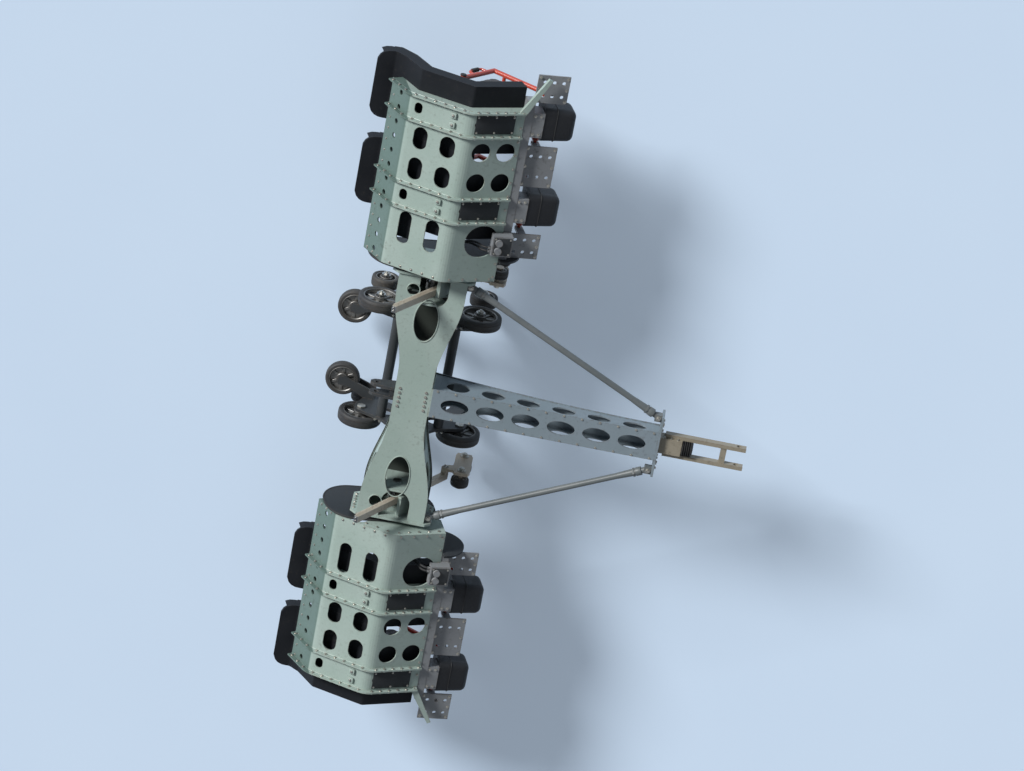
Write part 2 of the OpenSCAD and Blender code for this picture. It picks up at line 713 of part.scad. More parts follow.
// Strap that leaves the shell's outer corner for the outermost shoulder plate
strap_w = 52;
module pod_shell(side) in_pod(side) color("#a3b5a5") {
    to_shoulders() {
        difference() {
            along_y(shell_y, shell_end - shell_y) polygon(strip(shell_corners, 0, shell_t, bend_r));
            for (h = shell_holes) on_flat(h[0], h[1], h[2]) oval_cut(h[3], h[4]);
            for (y = seat_y, h = band_slots) on_flat(h[0], h[1], y) oval_cut(h[2], h[3]);
            for (i = [0:edge_holes - 1])
                on_flat(0, 0.52, shell_y + (shell_end - shell_y) * (i + 0.5) / edge_holes)
                    cylinder(h = 6 * shell_t, r = 22, center = true);
        }
        for (y = seat_y, s = [-1, 1]) let (at = y + s * (band_w - band_t) / 2 - band_t / 2) {
            along_y(at, band_t) polygon(strip(shell_corners, -band_h, shell_t / 2, bend_r));
            along_y(at, band_t) polygon(strip(shell_corners, shell_t / 2, shell_t + rib_d, bend_r));
        }
        along_y(shell_y, band_t) difference() {
            polygon(concat(bent(beside(shell_corners, shell_t / 2), bend_r),
                [[shoulder_x, back_z - 240], [170, -200], [-250, -290]]));
            for (p = [[-300, 90], [250, 60]]) translate(p) circle(r = 95);
        }
    }
    slab(back_z - eps, 36) polygon([
        [shoulder_x - strap_w - 8, shell_end - 8], [shoulder_x - 8, shell_end - 30],
        [plate_end - 170, car_w / 2 - 14], [plate_end - 200, car_w / 2]
    ]);
}

// Dark panel at the pod's inner end with its corners rounded, and the shield
// beside the inner seat's shoulder, which stands against the end of the beam
guard_r = 270;
shield_at = [400, 120];
shield_r = 250;
shield_t = 20;
shield_gap = 22;
inner_plate_start = seat_y[0] - 445;
module guard_panel(side) in_pod(side) color("#232527") {
    along_y(guard_y, guard_t) translate(guard_mid) {
        square([guard_l - 2 * guard_r, guard_h], center = true);
        square([guard_l, guard_h - 2 * guard_r], center = true);
        for (x = [-1, 1], z = [-1, 1])
            translate([x * (guard_l / 2 - guard_r), z * (guard_h / 2 - guard_r)]) circle(r = guard_r);
    }
    along_y(inner_plate_start - rest_gap - shield_t, shield_t) difference() {
        translate(shield_at) circle(r = shield_r);
        polygon([
            hips - [200, 200 * back_slope + shield_gap], [shoulder_x + 2, back_z - shield_gap],
            [shoulder_x + 2, back_z + 2 * shield_r], [hips[0] - 200, back_z + 2 * shield_r]
        ]);
    }
}

// Seat buckets line the ribs and run out into a leg rest
seat_line = beside(shell_corners, shell_t + rib_d);
seat_corners = concat(seat_nose, seat_line);
seat_bend = max(bend_r - shell_t - rib_d, 14);
nose_x = seat_nose[0][0] - eps;
nose_r = 130;
module seats(side) in_pod(side) color("#17181a") for (y = seat_y) intersection() {
    union() {
        along_y(y - seat_w / 2, seat_w) polygon(strip(seat_corners, rest_gap, bucket_t, seat_bend));
        for (s = [-1, 1]) along_y(y + s * (seat_w - bucket_t) / 2 - bucket_t / 2, bucket_t)
            polygon(strip(seat_corners, rest_gap, bolster_h, seat_bend));
    }
    slab(-hub_z, 2 * hub_z) polygon(bent([
        [plate_end, y - seat_w / 2 - eps], [nose_x, y - seat_w / 2 - eps],
        [nose_x, y + seat_w / 2 + eps], [plate_end, y + seat_w / 2 + eps]
    ], nose_r));
}

module seat_pads(side) in_pod(side) color("#1c1d1f") for (y = seat_y)
    along_y(y - pad_w / 2, pad_w)
        polygon(strip(seat_line, bucket_t + rest_gap, bucket_t + pad_t, seat_bend));

// Beam along the shoulders with the headrest arms, shoulder plates, hinge lugs
// and the housing of the harness locks, which stands over the shell's inner bay
beam_x = [shoulder_x, shoulder_x + 70];
beam_z = [back_z - 110, back_z - 5];
inner_plate = [inner_plate_start, seat_y[0] - 225];
middle_plate = [seat_y[0] + 205, seat_y[1] - 205];
outer_plate = [seat_y[1] + 185, car_w / 2];
plate_z = back_z - 74;
plate_holes = [560, 640, 720];
lug_y = harness_half + 45;
lug_t = 20;
lug_r = 34;
arm_half = 108;
lock_y = [seat_y[0] - 375, seat_y[0] - 195];
lock_x = 330;
lock_z = hips[1] + (lock_x - hips[0]) * back_slope + 4;
lock_h = 78;
lock_knob_r = 30;
module head_frame(side) in_pod(side) color("#8a8478") {
    block([beam_x[0], inner_plate[0], beam_z[0]], [beam_x[1], outer_plate[0] + 30, beam_z[1]]);
    for (y = seat_y)
        block([beam_x[1] - eps, y - arm_half, back_z - 175], [headrest_x, y + arm_half, back_z - 8]);
    for (p = [inner_plate, middle_plate, outer_plate]) difference() {
        block([beam_x[1] - eps, p[0], plate_z], [plate_end, p[1], plate_z + plate_t]);
        for (x = plate_holes, u = [0.25, 0.75])
            translate([x, p[0] + u * (p[1] - p[0]), plate_z]) cylinder(h = 60, r = 16, center = true);
    }
    for (y = seat_y, s = [-1, 1]) difference() {
        along_y(y + s * (lug_y + lug_t / 2) - lug_t / 2, lug_t) {
            translate(hinge) circle(r = lug_r);
            translate([hinge[0] - lug_r, hinge[1]]) square([2 * lug_r, plate_z + eps - hinge[1]]);
        }
        translate([hinge[0], 0, hinge[1]]) along_y(y + s * (lug_y + lug_t / 2) - lug_t, 2 * lug_t)
            circle(r = pin_r + fit);
    }
    block([beam_x[0], lock_y[0], beam_z[1] - eps], [beam_x[1], lock_y[1], lock_z + eps]);
    block([lock_x, lock_y[0], lock_z], [beam_x[1], lock_y[1], lock_z + lock_h]);
    for (u = [0.3, 0.7]) translate([lock_x + 50, lock_y[0] + u * (lock_y[1] - lock_y[0]), lock_z + lock_h - eps])
        cylinder(h = lock_knob_r, r = lock_knob_r);
}

module headrests(side) in_pod(side) color("#141516") for (y = seat_y)
    along_y(y - headrest_w / 2, headrest_w) polygon(concat(
        [[headrest_x, back_z - 15], [headrest_x, back_z - 280]],
        bent([[headrest_x, back_z - 280], [headrest_x + headrest_len - 14, back_z - 282],
            [headrest_x + headrest_len, back_z - 40], [headrest_x, back_z - 15]], 60)
    ));

// Harness frame: mitred tubes, hinge eyes with their pins, a brace and a lap bar
apex = harness_path[1];
tube_dirs = [for (p = [harness_path[0], harness_path[2]]) (p - apex) / norm(p - apex)];
mitre_angle = let (m = tube_dirs[0] - tube_dirs[1]) atan2(m[1], m[0]);
brace = apex + 110 * tube_dirs[0];

// One tube from the apex to an end, cut along the mitre
module mitred_tube(i, t) {
    end = harness_path[2 * i];
    difference() {
        bar(at(apex - 40 * tube_dirs[i], t), at(end, t), tube_r);
        translate(at(apex, t)) rotate([0, -mitre_angle, 0])
            translate([i == 0 ? -200 : 0, -100, -100]) cube(200);
    }
}

module harness(side, y) in_pod(side) color("#b23a2c") {
    for (s = [-1, 1]) let (t = y + s * harness_half) {
        mitred_tube(0, t);
        mitred_tube(1, t);
        translate([hinge[0], 0, hinge[1]]) along_y(t - tube_r - 2, 2 * tube_r + 4) circle(r = 31);
        translate([hinge[0], 0, hinge[1]])
            along_y(s > 0 ? t : y - lug_y - lug_t - 6, lug_y + lug_t + 6 - harness_half) circle(r = pin_r);
    }
    bar(at(brace, y - harness_half), at(brace, y + harness_half), tube_r - 5);
    bar(at(harness_path[2], y - lap_half), at(harness_path[2], y + lap_half), lap_r);
}
function at(p, y) = [p[0], y, p[1]];

pad_path = [hinge + 0.34 * (harness_path[1] - hinge), harness_path[1], harness_path[2]];
module harness_pads(side, y) in_pod(side) color("#34373a")
    along_y(y - harness_half + tube_r + 2, 2 * (harness_half - tube_r - 2))
        polygon(strip(pad_path, lap_r + rest_gap, tube_r + 100, 160));

wing_top_plate();
wing_bottom_plate();
wing_webs();
hub_plates();
tongue_girder();
tongue_end_plate();
coupler();
hitch();
tie_rods();
wheel_carriers();
cross_tubes();
wheel_axles();
rail_wheel(1, half_base, road_z, road_r);  // road_wheel_left_front
rail_wheel(1, -half_base, road_z, road_r);  // road_wheel_left_rear
rail_wheel(-1, half_base, road_z, road_r);  // road_wheel_right_front
rail_wheel(-1, -half_base, road_z, road_r);  // road_wheel_right_rear
rail_wheel(1, half_base, stop_z, stop_r);  // upstop_wheel_left_front
rail_wheel(1, -half_base, stop_z, stop_r);  // upstop_wheel_left_rear
rail_wheel(-1, half_base, stop_z, stop_r);  // upstop_wheel_right_front
rail_wheel(-1, -half_base, stop_z, stop_r);  // upstop_wheel_right_rear
side_wheel(1);  // side_wheel_left
side_wheel(-1);  // side_wheel_right
rack(1);  // rack_left
rack(-1);  // rack_right
follower_wheel(1, roller_top_z);  // follower_wheel_left_top
follower_wheel(1, roller_low_z);  // follower_wheel_left_low
follower_wheel(-1, roller_top_z);  // follower_wheel_right_top
follower_wheel(-1, roller_low_z);  // follower_wheel_right_low
pod_shaft(1);  // pod_shaft_left
pod_shaft(-1);  // pod_shaft_right
pod_shell(1);  // pod_shell_left
pod_shell(-1);  // pod_shell_right
guard_panel(1);  // guard_panel_left
guard_panel(-1);  // guard_panel_right
seats(1);  // seats_left
seats(-1);  // seats_right
seat_pads(1);  // seat_pads_left
seat_pads(-1);  // seat_pads_right
head_frame(1);  // head_frame_left
head_frame(-1);  // head_frame_right
headrests(1);  // headrests_left
headrests(-1);  // headrests_right
harness(1, seat_y[1]);  // harness_left_outer
harness(1, seat_y[0]);  // harness_left_inner
harness(-1, seat_y[1]);  // harness_right_outer
harness(-1, seat_y[0]);  // harness_right_inner
harness_pads(1, seat_y[1]);  // harness_pads_left_outer
harness_pads(1, seat_y[0]);  // harness_pads_left_inner
harness_pads(-1, seat_y[1]);  // harness_pads_right_outer
harness_pads(-1, seat_y[0]);  // harness_pads_right_inner
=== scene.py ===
"""Looks of a coaster wing car with two twin-seat pods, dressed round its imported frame.

Lengths are metres in the row frame: +X along the tongue, +Y to the car's left, +Z up.
"""
import json
import logging
import math
from collections.abc import Iterable, Sequence
from dataclasses import dataclass
from enum import Enum
from functools import reduce

import bmesh
import bpy
from mathutils import Matrix, Vector
from mathutils.bvhtree import BVHTree


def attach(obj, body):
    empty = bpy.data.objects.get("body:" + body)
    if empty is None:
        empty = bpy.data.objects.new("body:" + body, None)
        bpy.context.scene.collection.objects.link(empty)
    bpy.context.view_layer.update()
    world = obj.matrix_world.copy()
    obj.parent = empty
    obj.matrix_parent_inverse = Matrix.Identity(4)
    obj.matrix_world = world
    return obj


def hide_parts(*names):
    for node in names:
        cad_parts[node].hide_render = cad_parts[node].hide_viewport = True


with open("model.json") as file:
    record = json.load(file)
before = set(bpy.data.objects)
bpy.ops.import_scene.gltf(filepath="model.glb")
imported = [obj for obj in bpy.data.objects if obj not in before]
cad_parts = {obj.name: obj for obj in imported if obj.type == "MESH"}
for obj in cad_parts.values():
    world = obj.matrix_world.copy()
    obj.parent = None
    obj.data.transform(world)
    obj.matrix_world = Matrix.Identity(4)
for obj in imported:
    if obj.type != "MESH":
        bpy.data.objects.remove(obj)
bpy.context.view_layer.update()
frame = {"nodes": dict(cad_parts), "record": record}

LOG = logging.getLogger("wing_car")
Pair = tuple[float, float]
Triple = tuple[float, float, float]
Colour = Triple

JOINTS = {joint["name"]: joint for joint in frame["record"]["behaviour"]["joints"]}
ORIGIN_X, _, HUB_Z = JOINTS["pod_turn_left"]["pos_m"]
LEANS = {"pod": 16.0, "harness": 16.0, "rack": -30.0}
WHITE: Colour = (1.0, 1.0, 1.0)


def car(x: float, y: float, z: float) -> Vector:
    """A point of the car's own frame, given in millimetres, as a place in the row frame."""
    return Vector((x / 1000 + ORIGIN_X, y / 1000, z / 1000))


def pod(x: float, y: float, z: float) -> Vector:
    """A point about the seat axis of an upright pod, in millimetres, as a place in the row frame."""
    return Vector((x / 1000 + ORIGIN_X, y / 1000, z / 1000 + HUB_Z))


class Side(Enum):
    """The two sides of the car, with the sign of their Y."""

    LEFT = 1
    RIGHT = -1

    @property
    def word(self) -> str:
        """The side as it stands in the nodes' names."""
        return self.name.lower()


class Seat(Enum):
    """The two seats of a pod, with the distance of their middle from the car's."""

    INNER = 1845.0
    OUTER = 2620.0

    @property
    def word(self) -> str:
        """The seat as it stands in the nodes' names."""
        return self.name.lower()


# ---------------------------------------------------------------------------
# Shader groups
# ---------------------------------------------------------------------------


class Group:
    """A shader node group under construction, with named inputs and outputs."""

    def __init__(self, name: str) -> None:
        """Starts an empty group.

        Args:
            name: Name of the group.
        """
        self.tree = bpy.data.node_groups.new(name, "ShaderNodeTree")
        self.source = self.tree.nodes.new("NodeGroupInput")
        self.sink = self.tree.nodes.new("NodeGroupOutput")

    def takes(self, name: str, kind: str, value: float | Colour | None = None) -> None:
        """Adds an input.

        Args:
            name: Name of the socket.
            kind: "Float", "Color" or "Vector".
            value: Its default.
        """
        socket = self.tree.interface.new_socket(name, in_out="INPUT", socket_type=f"NodeSocket{kind}")
        if value is not None:
            socket.default_value = (*value, 1.0) if kind == "Color" else value

    def gives(self, name: str, kind: str) -> None:
        """Adds an output of that name and kind."""
        self.tree.interface.new_socket(name, in_out="OUTPUT", socket_type=f"NodeSocket{kind}")


def wire(tree: bpy.types.NodeTree, value: object, socket: bpy.types.NodeSocket) -> None:
    """Links a socket to another, or sets it to a number or colour.

    Args:
        tree: Node tree that holds both.
        value: An output socket, a number, a colour or None to leave the default.
        socket: The input to feed.
    """
    if isinstance(value, bpy.types.NodeSocket):
        tree.links.new(value, socket)
    elif value is not None:
        if isinstance(value, tuple) and len(value) == 3 and socket.type == "RGBA":
            value = (*value, 1.0)
        socket.default_value = value


def maths(tree: bpy.types.NodeTree, kind: str, a: object, b: object = None) -> bpy.types.NodeSocket:
    """A Math node's output, clamped to 0 to 1.

    Args:
        tree: Node tree to add it to.
        kind: The node's operation.
        a: First value or socket.
        b: Second value or socket.

    Returns:
        The output socket.
    """
    node = tree.nodes.new("ShaderNodeMath")
    node.operation = kind
    node.use_clamp = True
    wire(tree, a, node.inputs[0])
    wire(tree, b, node.inputs[1])
    return node.outputs[0]


def vectors(tree: bpy.types.NodeTree, kind: str, a: object, b: object = None) -> bpy.types.Node:
    """A Vector Math node.

    Args:
        tree: Node tree to add it to.
        kind: The node's operation.
        a: First value or socket.
        b: Second value or socket.

    Returns:
        The node.
    """
    node = tree.nodes.new("ShaderNodeVectorMath")
    node.operation = kind
    wire(tree, a, node.inputs[0])
    wire(tree, b, node.inputs[1])
    return node


def ramp(tree: bpy.types.NodeTree, value: object, low: float, high: float) -> bpy.types.NodeSocket:
    """A smooth step from 0 at low to 1 at high.

    Args:
        tree: Node tree to add it to.
        value: Value to map.
        low: Value that gives 0.
        high: Value that gives 1.

    Returns:
        The output socket.
    """
    node = tree.nodes.new("ShaderNodeMapRange")
    node.interpolation_type = "SMOOTHSTEP"
    wire(tree, value, node.inputs["Value"])
    node.inputs["From Min"].default_value = low
    node.inputs["From Max"].default_value = high
    return node.outputs["Result"]


def noise(tree: bpy.types.NodeTree, at: object, scale: object, detail: float = 4.0,
          stretch: Colour = WHITE, rough: float = 0.55) -> bpy.types.NodeSocket:
    """Noise on Object coordinates.

    Args:
        tree: Node tree to add it to.
        at: Coordinates to read.
        scale: Scale of the noise.
        detail: Octaves.
        stretch: Scale of each axis before the noise.
        rough: Share that each octave keeps.

    Returns:
        The noise's value.
    """
    if stretch != WHITE:
        turned = tree.nodes.new("ShaderNodeMapping")
        turned.inputs["Scale"].default_value = stretch
        wire(tree, at, turned.inputs["Vector"])
        at = turned.outputs["Vector"]
    node = tree.nodes.new("ShaderNodeTexNoise")
    node.inputs["Detail"].default_value = detail
    node.inputs["Roughness"].default_value = rough
    wire(tree, scale, node.inputs["Scale"])
    wire(tree, at, node.inputs["Vector"])
    return node.outputs["Fac"]


def mixed(tree: bpy.types.NodeTree, share: object, a: object, b: object,
          blend: str = "MIX") -> bpy.types.NodeSocket:
    """Two colours mixed.

    Args:
        tree: Node tree to add it to.
        share: How much of b.
        a: First colour.
        b: Second colour.
        blend: The Mix node's blend type.

    Returns:
        The mixed colour.
    """
    node = tree.nodes.new("ShaderNodeMix")
    node.data_type = "RGBA"
    node.blend_type = blend
    wire(tree, share, node.inputs[0])
    wire(tree, a, node.inputs[6])
    wire(tree, b, node.inputs[7])
    return node.outputs[2]


def edge_group() -> bpy.types.NodeTree:
    """A mask of the edges, from how far the bevelled normal turns away from the face's own.

    Returns:
        The group's tree.
    """
    group = Group("Edge masks")
    tree = group.tree
    group.takes("Width", "Float", 0.012)
    group.gives("Edge", "Float")
    bevel = tree.nodes.new("ShaderNodeBevel")
    bevel.samples = 4
    wire(tree, group.source.outputs["Width"], bevel.inputs["Radius"])
    facing = tree.nodes.new("ShaderNodeNewGeometry")
    dot = vectors(tree, "DOT_PRODUCT", bevel.outputs["Normal"], facing.outputs["Normal"])
    turned = maths(tree, "SUBTRACT", 1.0, dot.outputs["Value"])
    wire(tree, ramp(tree, turned, 0.01, 0.16), group.sink.inputs["Edge"])
    return tree


@dataclass(frozen=True)
class Weather:
    """Weather on a painted or moulded surface: fading, blotches, run-down dirt and chipped edges.

    Each range holds the value where a mark starts and the value where it is full.
    """

    cloud_scale: float = 2.3
    fine_scale: float = 60.0
    run_scale: float = 5.0
    run_stretch: Colour = (6.0, 6.0, 0.55)
    spot_scale: float = 26.0
    fade_range: Pair = (0.36, 0.66)
    streak_range: Pair = (0.55, 0.8)
    blotch_range: Pair = (0.33, 0.48)
    chip_range: Pair = (0.42, 0.56)
    mottle: float = 0.10
    grime_rough: float = 0.3
    faded_rough: float = 0.12
    fine_height: float = 0.5
    spot_height: float = 0.3
    chip_depth: float = 0.4

    def group(self, edges: bpy.types.NodeTree) -> bpy.types.NodeTree:
        """Builds the weather's node group.

        Args:
            edges: The edge mask group.

        Returns:
            The group's tree.
        """
        group = Group("Weather")
        tree = group.tree
        for name, kind, value in (
            ("Vector", "Vector", None), ("Coat", "Color", WHITE), ("Faded", "Color", WHITE),
            ("Dirt", "Color", (0.05, 0.04, 0.03)), ("Bare", "Color", (0.3, 0.28, 0.25)),
            ("Fading", "Float", 0.4), ("Dirtiness", "Float", 0.3), ("Wear", "Float", 0.4),
            ("Roughness", "Float", 0.45), ("Scale", "Float", 1.0), ("Edge Width", "Float", 0.012),
        ):
            group.takes(name, kind, value)
        for name, kind in (("Color", "Color"), ("Roughness", "Float"), ("Height", "Float")):
            group.gives(name, kind)
        given, sink = group.source.outputs, group.sink.inputs
        at = tree.nodes.new("ShaderNodeVectorMath")
        at.operation = "SCALE"
        wire(tree, given["Vector"], at.inputs[0])
        wire(tree, given["Scale"], at.inputs["Scale"])
        place = at.outputs["Vector"]
        edge_node = tree.nodes.new("ShaderNodeGroup")
        edge_node.node_tree = edges
        wire(tree, given["Edge Width"], edge_node.inputs["Width"])
        edge = edge_node.outputs["Edge"]

        cloud = noise(tree, place, self.cloud_scale, 5.0)
        fine = noise(tree, place, self.fine_scale, 6.0, rough=0.65)
        run = noise(tree, place, self.run_scale, 6.0, stretch=self.run_stretch, rough=0.6)
        spots = noise(tree, place, self.spot_scale, 3.0)
        faded = maths(tree, "MULTIPLY", ramp(tree, cloud, *self.fade_range), given["Fading"])
        colour = mixed(tree, faded, given["Coat"], given["Faded"])
        streak = maths(tree, "MULTIPLY", ramp(tree, run, *self.streak_range), given["Dirtiness"])
        stain = ramp(tree, maths(tree, "MULTIPLY", cloud, spots), *self.blotch_range)
        blotch = maths(tree, "MULTIPLY", stain, given["Dirtiness"])
        grime = maths(tree, "MAXIMUM", streak, blotch)
        colour = mixed(tree, grime, colour, given["Dirt"])
        worn = maths(tree, "MULTIPLY", edge, ramp(tree, spots, *self.chip_range))
        chips = maths(tree, "MULTIPLY", worn, given["Wear"])
        colour = mixed(tree, chips, colour, given["Bare"])
        wire(tree, mixed(tree, self.mottle, colour, fine, "OVERLAY"), sink["Color"])
        rough = maths(tree, "ADD", given["Roughness"], maths(tree, "MULTIPLY", grime, self.grime_rough))
        rough = maths(tree, "ADD", rough, maths(tree, "MULTIPLY", faded, self.faded_rough))
        wire(tree, rough, sink["Roughness"])
        relief = maths(tree, "MULTIPLY", fine, self.fine_height)
        relief = maths(tree, "ADD", relief, maths(tree, "MULTIPLY", spots, self.spot_height))
        relief = maths(tree, "SUBTRACT", relief, maths(tree, "MULTIPLY", chips, self.chip_depth))
        wire(tree, relief, sink["Height"])
        return tree


@dataclass(frozen=True)
class PaintZones:
    """Painted shade on the pale paint: inside the wing, along each shell's front edge, and a darker bluish
    sky-lit shade over the tongue.

    Each range, in metres about the seat axis, holds where a mask starts and where it is full.
    """

    # Tones of painted shade, multiplied into the paint: deep shade inside the wing's hollow, shade on each
    # shell's front strip, and a bluish sky-lit shade over the tongue.
    tones: tuple[tuple[str, Colour], ...] = (
        ("Hollow", (0.1, 0.095, 0.09)), ("Strip", (0.34, 0.41, 0.4)), ("Tongue", (0.6, 0.6, 0.75)))
    wing: tuple[Pair, ...] = ((0.33, 0.32), (1.125, 1.12), (0.205, 0.2))
    webs_within: Pair = (-0.03, -0.08)
    plates_within: Pair = (-0.1, -0.15)
    strip_front: Pair = (-0.493, -0.503)
    strip_y: Pair = (1.18, 1.19)
    root_x: Pair = (0.163, 0.168)
    root_y: Pair = (0.26, 0.25)
    girder_x: Pair = (0.4, 0.41)
    girder_y: Pair = (1.1, 1.09)

    def group(self) -> bpy.types.NodeTree:
        """Builds the node group that gives one mask of painted shade for each tone, from Object
        coordinates.

        Returns:
            The group's tree.
        """
        group = Group("Paint zones")
        tree = group.tree
        group.takes("Vector", "Vector")
        group.takes("Normal", "Vector")
        for name, _ in self.tones:
            group.gives(name, "Float")

        def parts(vector: bpy.types.NodeSocket) -> list[bpy.types.NodeSocket]:
            """The three components of a vector.

            Args:
                vector: Where the vector comes from.

            Returns:
                One socket for each of X, Y and Z.
            """
            split = tree.nodes.new("ShaderNodeSeparateXYZ")
            wire(tree, vector, split.inputs[0])
            return list(split.outputs)

        def both(*masks: bpy.types.NodeSocket) -> bpy.types.NodeSocket:
            """The product of masks."""
            return reduce(lambda one, other: maths(tree, "MULTIPLY", one, other), masks)

        given, sink = group.source.outputs, group.sink.inputs
        place = vectors(tree, "SUBTRACT", given["Vector"], (ORIGIN_X, 0.0, HUB_Z)).outputs["Vector"]
        x = parts(place)[0]
        far = parts(vectors(tree, "ABSOLUTE", place).outputs["Vector"])
        inward = parts(vectors(tree, "MULTIPLY", place, given["Normal"]).outputs["Vector"])
        # Painted shade inside the wing's hollow: faces turned towards the seat axis, within the wing's box,
        # made nearly black.
        inner = maths(tree, "MAXIMUM", ramp(tree, inward[0], *self.webs_within),
                      ramp(tree, inward[2], *self.plates_within))
        wing = both(*(ramp(tree, value, *limits) for value, limits in zip(far, self.wing)))
        wire(tree, both(inner, wing), sink["Hollow"])
        # Painted shade on each shell's front strip: the facet ahead of the leaned seat axis, beyond the
        # wing's ends.
        turn = math.radians(LEANS["pod"])
        front = vectors(tree, "DOT_PRODUCT", place, (math.cos(turn), 0.0, -math.sin(turn)))
        strip_shade = both(ramp(tree, front.outputs["Value"], *self.strip_front),
                     ramp(tree, far[1], *self.strip_y))
        wire(tree, strip_shade, sink["Strip"])
        # Painted shade over the whole tongue: darker and bluer, as if lit by the sky alone.
        root = both(ramp(tree, x, *self.root_x), ramp(tree, far[1], *self.root_y))
        girder = both(ramp(tree, x, *self.girder_x), ramp(tree, far[1], *self.girder_y))
        wire(tree, maths(tree, "MAXIMUM", root, girder), sink["Tongue"])
        return tree


class Grain(Enum):
    """Fine surface of a finish, with the scale that it has where the finish gives none."""

    MOULDED = 240.0
    LEATHER = 160.0
    MACHINED = 90.0

    def group(self) -> bpy.types.NodeTree:
        """Builds the node group that gives the grain's height.

        Returns:
            The group's tree.
        """
        group = Group(f"{self.name.capitalize()} grain")
        tree = group.tree
        group.takes("Vector", "Vector")
        group.takes("Scale", "Float", self.value)
        group.gives("Height", "Float")
        at, scale = (group.source.outputs[name] for name in ("Vector", "Scale"))
        heights = {Grain.MOULDED: self.pimples, Grain.LEATHER: self.pebbles, Grain.MACHINED: self.marks}
        wire(tree, heights[self](tree, at, scale), group.sink.inputs["Height"])
        return tree

    @staticmethod
    def summed(tree: bpy.types.NodeTree, a: bpy.types.NodeSocket, b: bpy.types.NodeSocket,
               share: float) -> bpy.types.NodeSocket:
        """A share of the first height and the rest of the second."""
        rest = maths(tree, "MULTIPLY", b, 1.0 - share)
        return maths(tree, "ADD", maths(tree, "MULTIPLY", a, share), rest)

    @staticmethod
    def pimples(tree: bpy.types.NodeTree, at: object, scale: object) -> bpy.types.NodeSocket:
        """Fine pimples of moulded plastic, cast parts and thick paint."""
        return Grain.summed(tree, noise(tree, at, scale, 2.0), noise(tree, at, 9.0, 3.0), 0.5)

    @staticmethod
    def pebbles(tree: bpy.types.NodeTree, at: object, scale: object) -> bpy.types.NodeSocket:
        """Pebbles of vinyl: cells with creases between them.

        Args:
            tree: Node tree to add them to.
            at: Coordinates to read.
            scale: Scale of the cells.

        Returns:
            The height.
        """
        cells = tree.nodes.new("ShaderNodeTexVoronoi")
        cells.feature = "DISTANCE_TO_EDGE"
        wire(tree, at, cells.inputs["Vector"])
        wire(tree, scale, cells.inputs["Scale"])
        crease = ramp(tree, cells.outputs["Distance"], 0.02, 0.22)
        return Grain.summed(tree, crease, noise(tree, at, 14.0, 2.0), 0.6)

    @staticmethod
    def marks(tree: bpy.types.NodeTree, at: object, scale: object) -> bpy.types.NodeSocket:
        """Turning marks of machined steel, drawn out along X."""
        return noise(tree, at, scale, 4.0, stretch=(0.12, 2.0, 2.0))


class Shop:
    """Shader groups, built once and placed in each material."""

    def __init__(self) -> None:
        """Builds every shared group."""
        self.weather = Weather().group(edge_group())
        self.zones = PaintZones()
        self.zone_masks = self.zones.group()
        self.grains = {grain: grain.group() for grain in Grain}
        self.made: dict[str, bpy.types.Material] = {}

    def material(self, finish: "Finish") -> bpy.types.Material:
        """The material of a finish, made once.

        Args:
            finish: The finish asked for.

        Returns:
            Its material.
        """
        if finish.name not in self.made:
            self.made[finish.name] = finish.build(self)
        return self.made[finish.name]


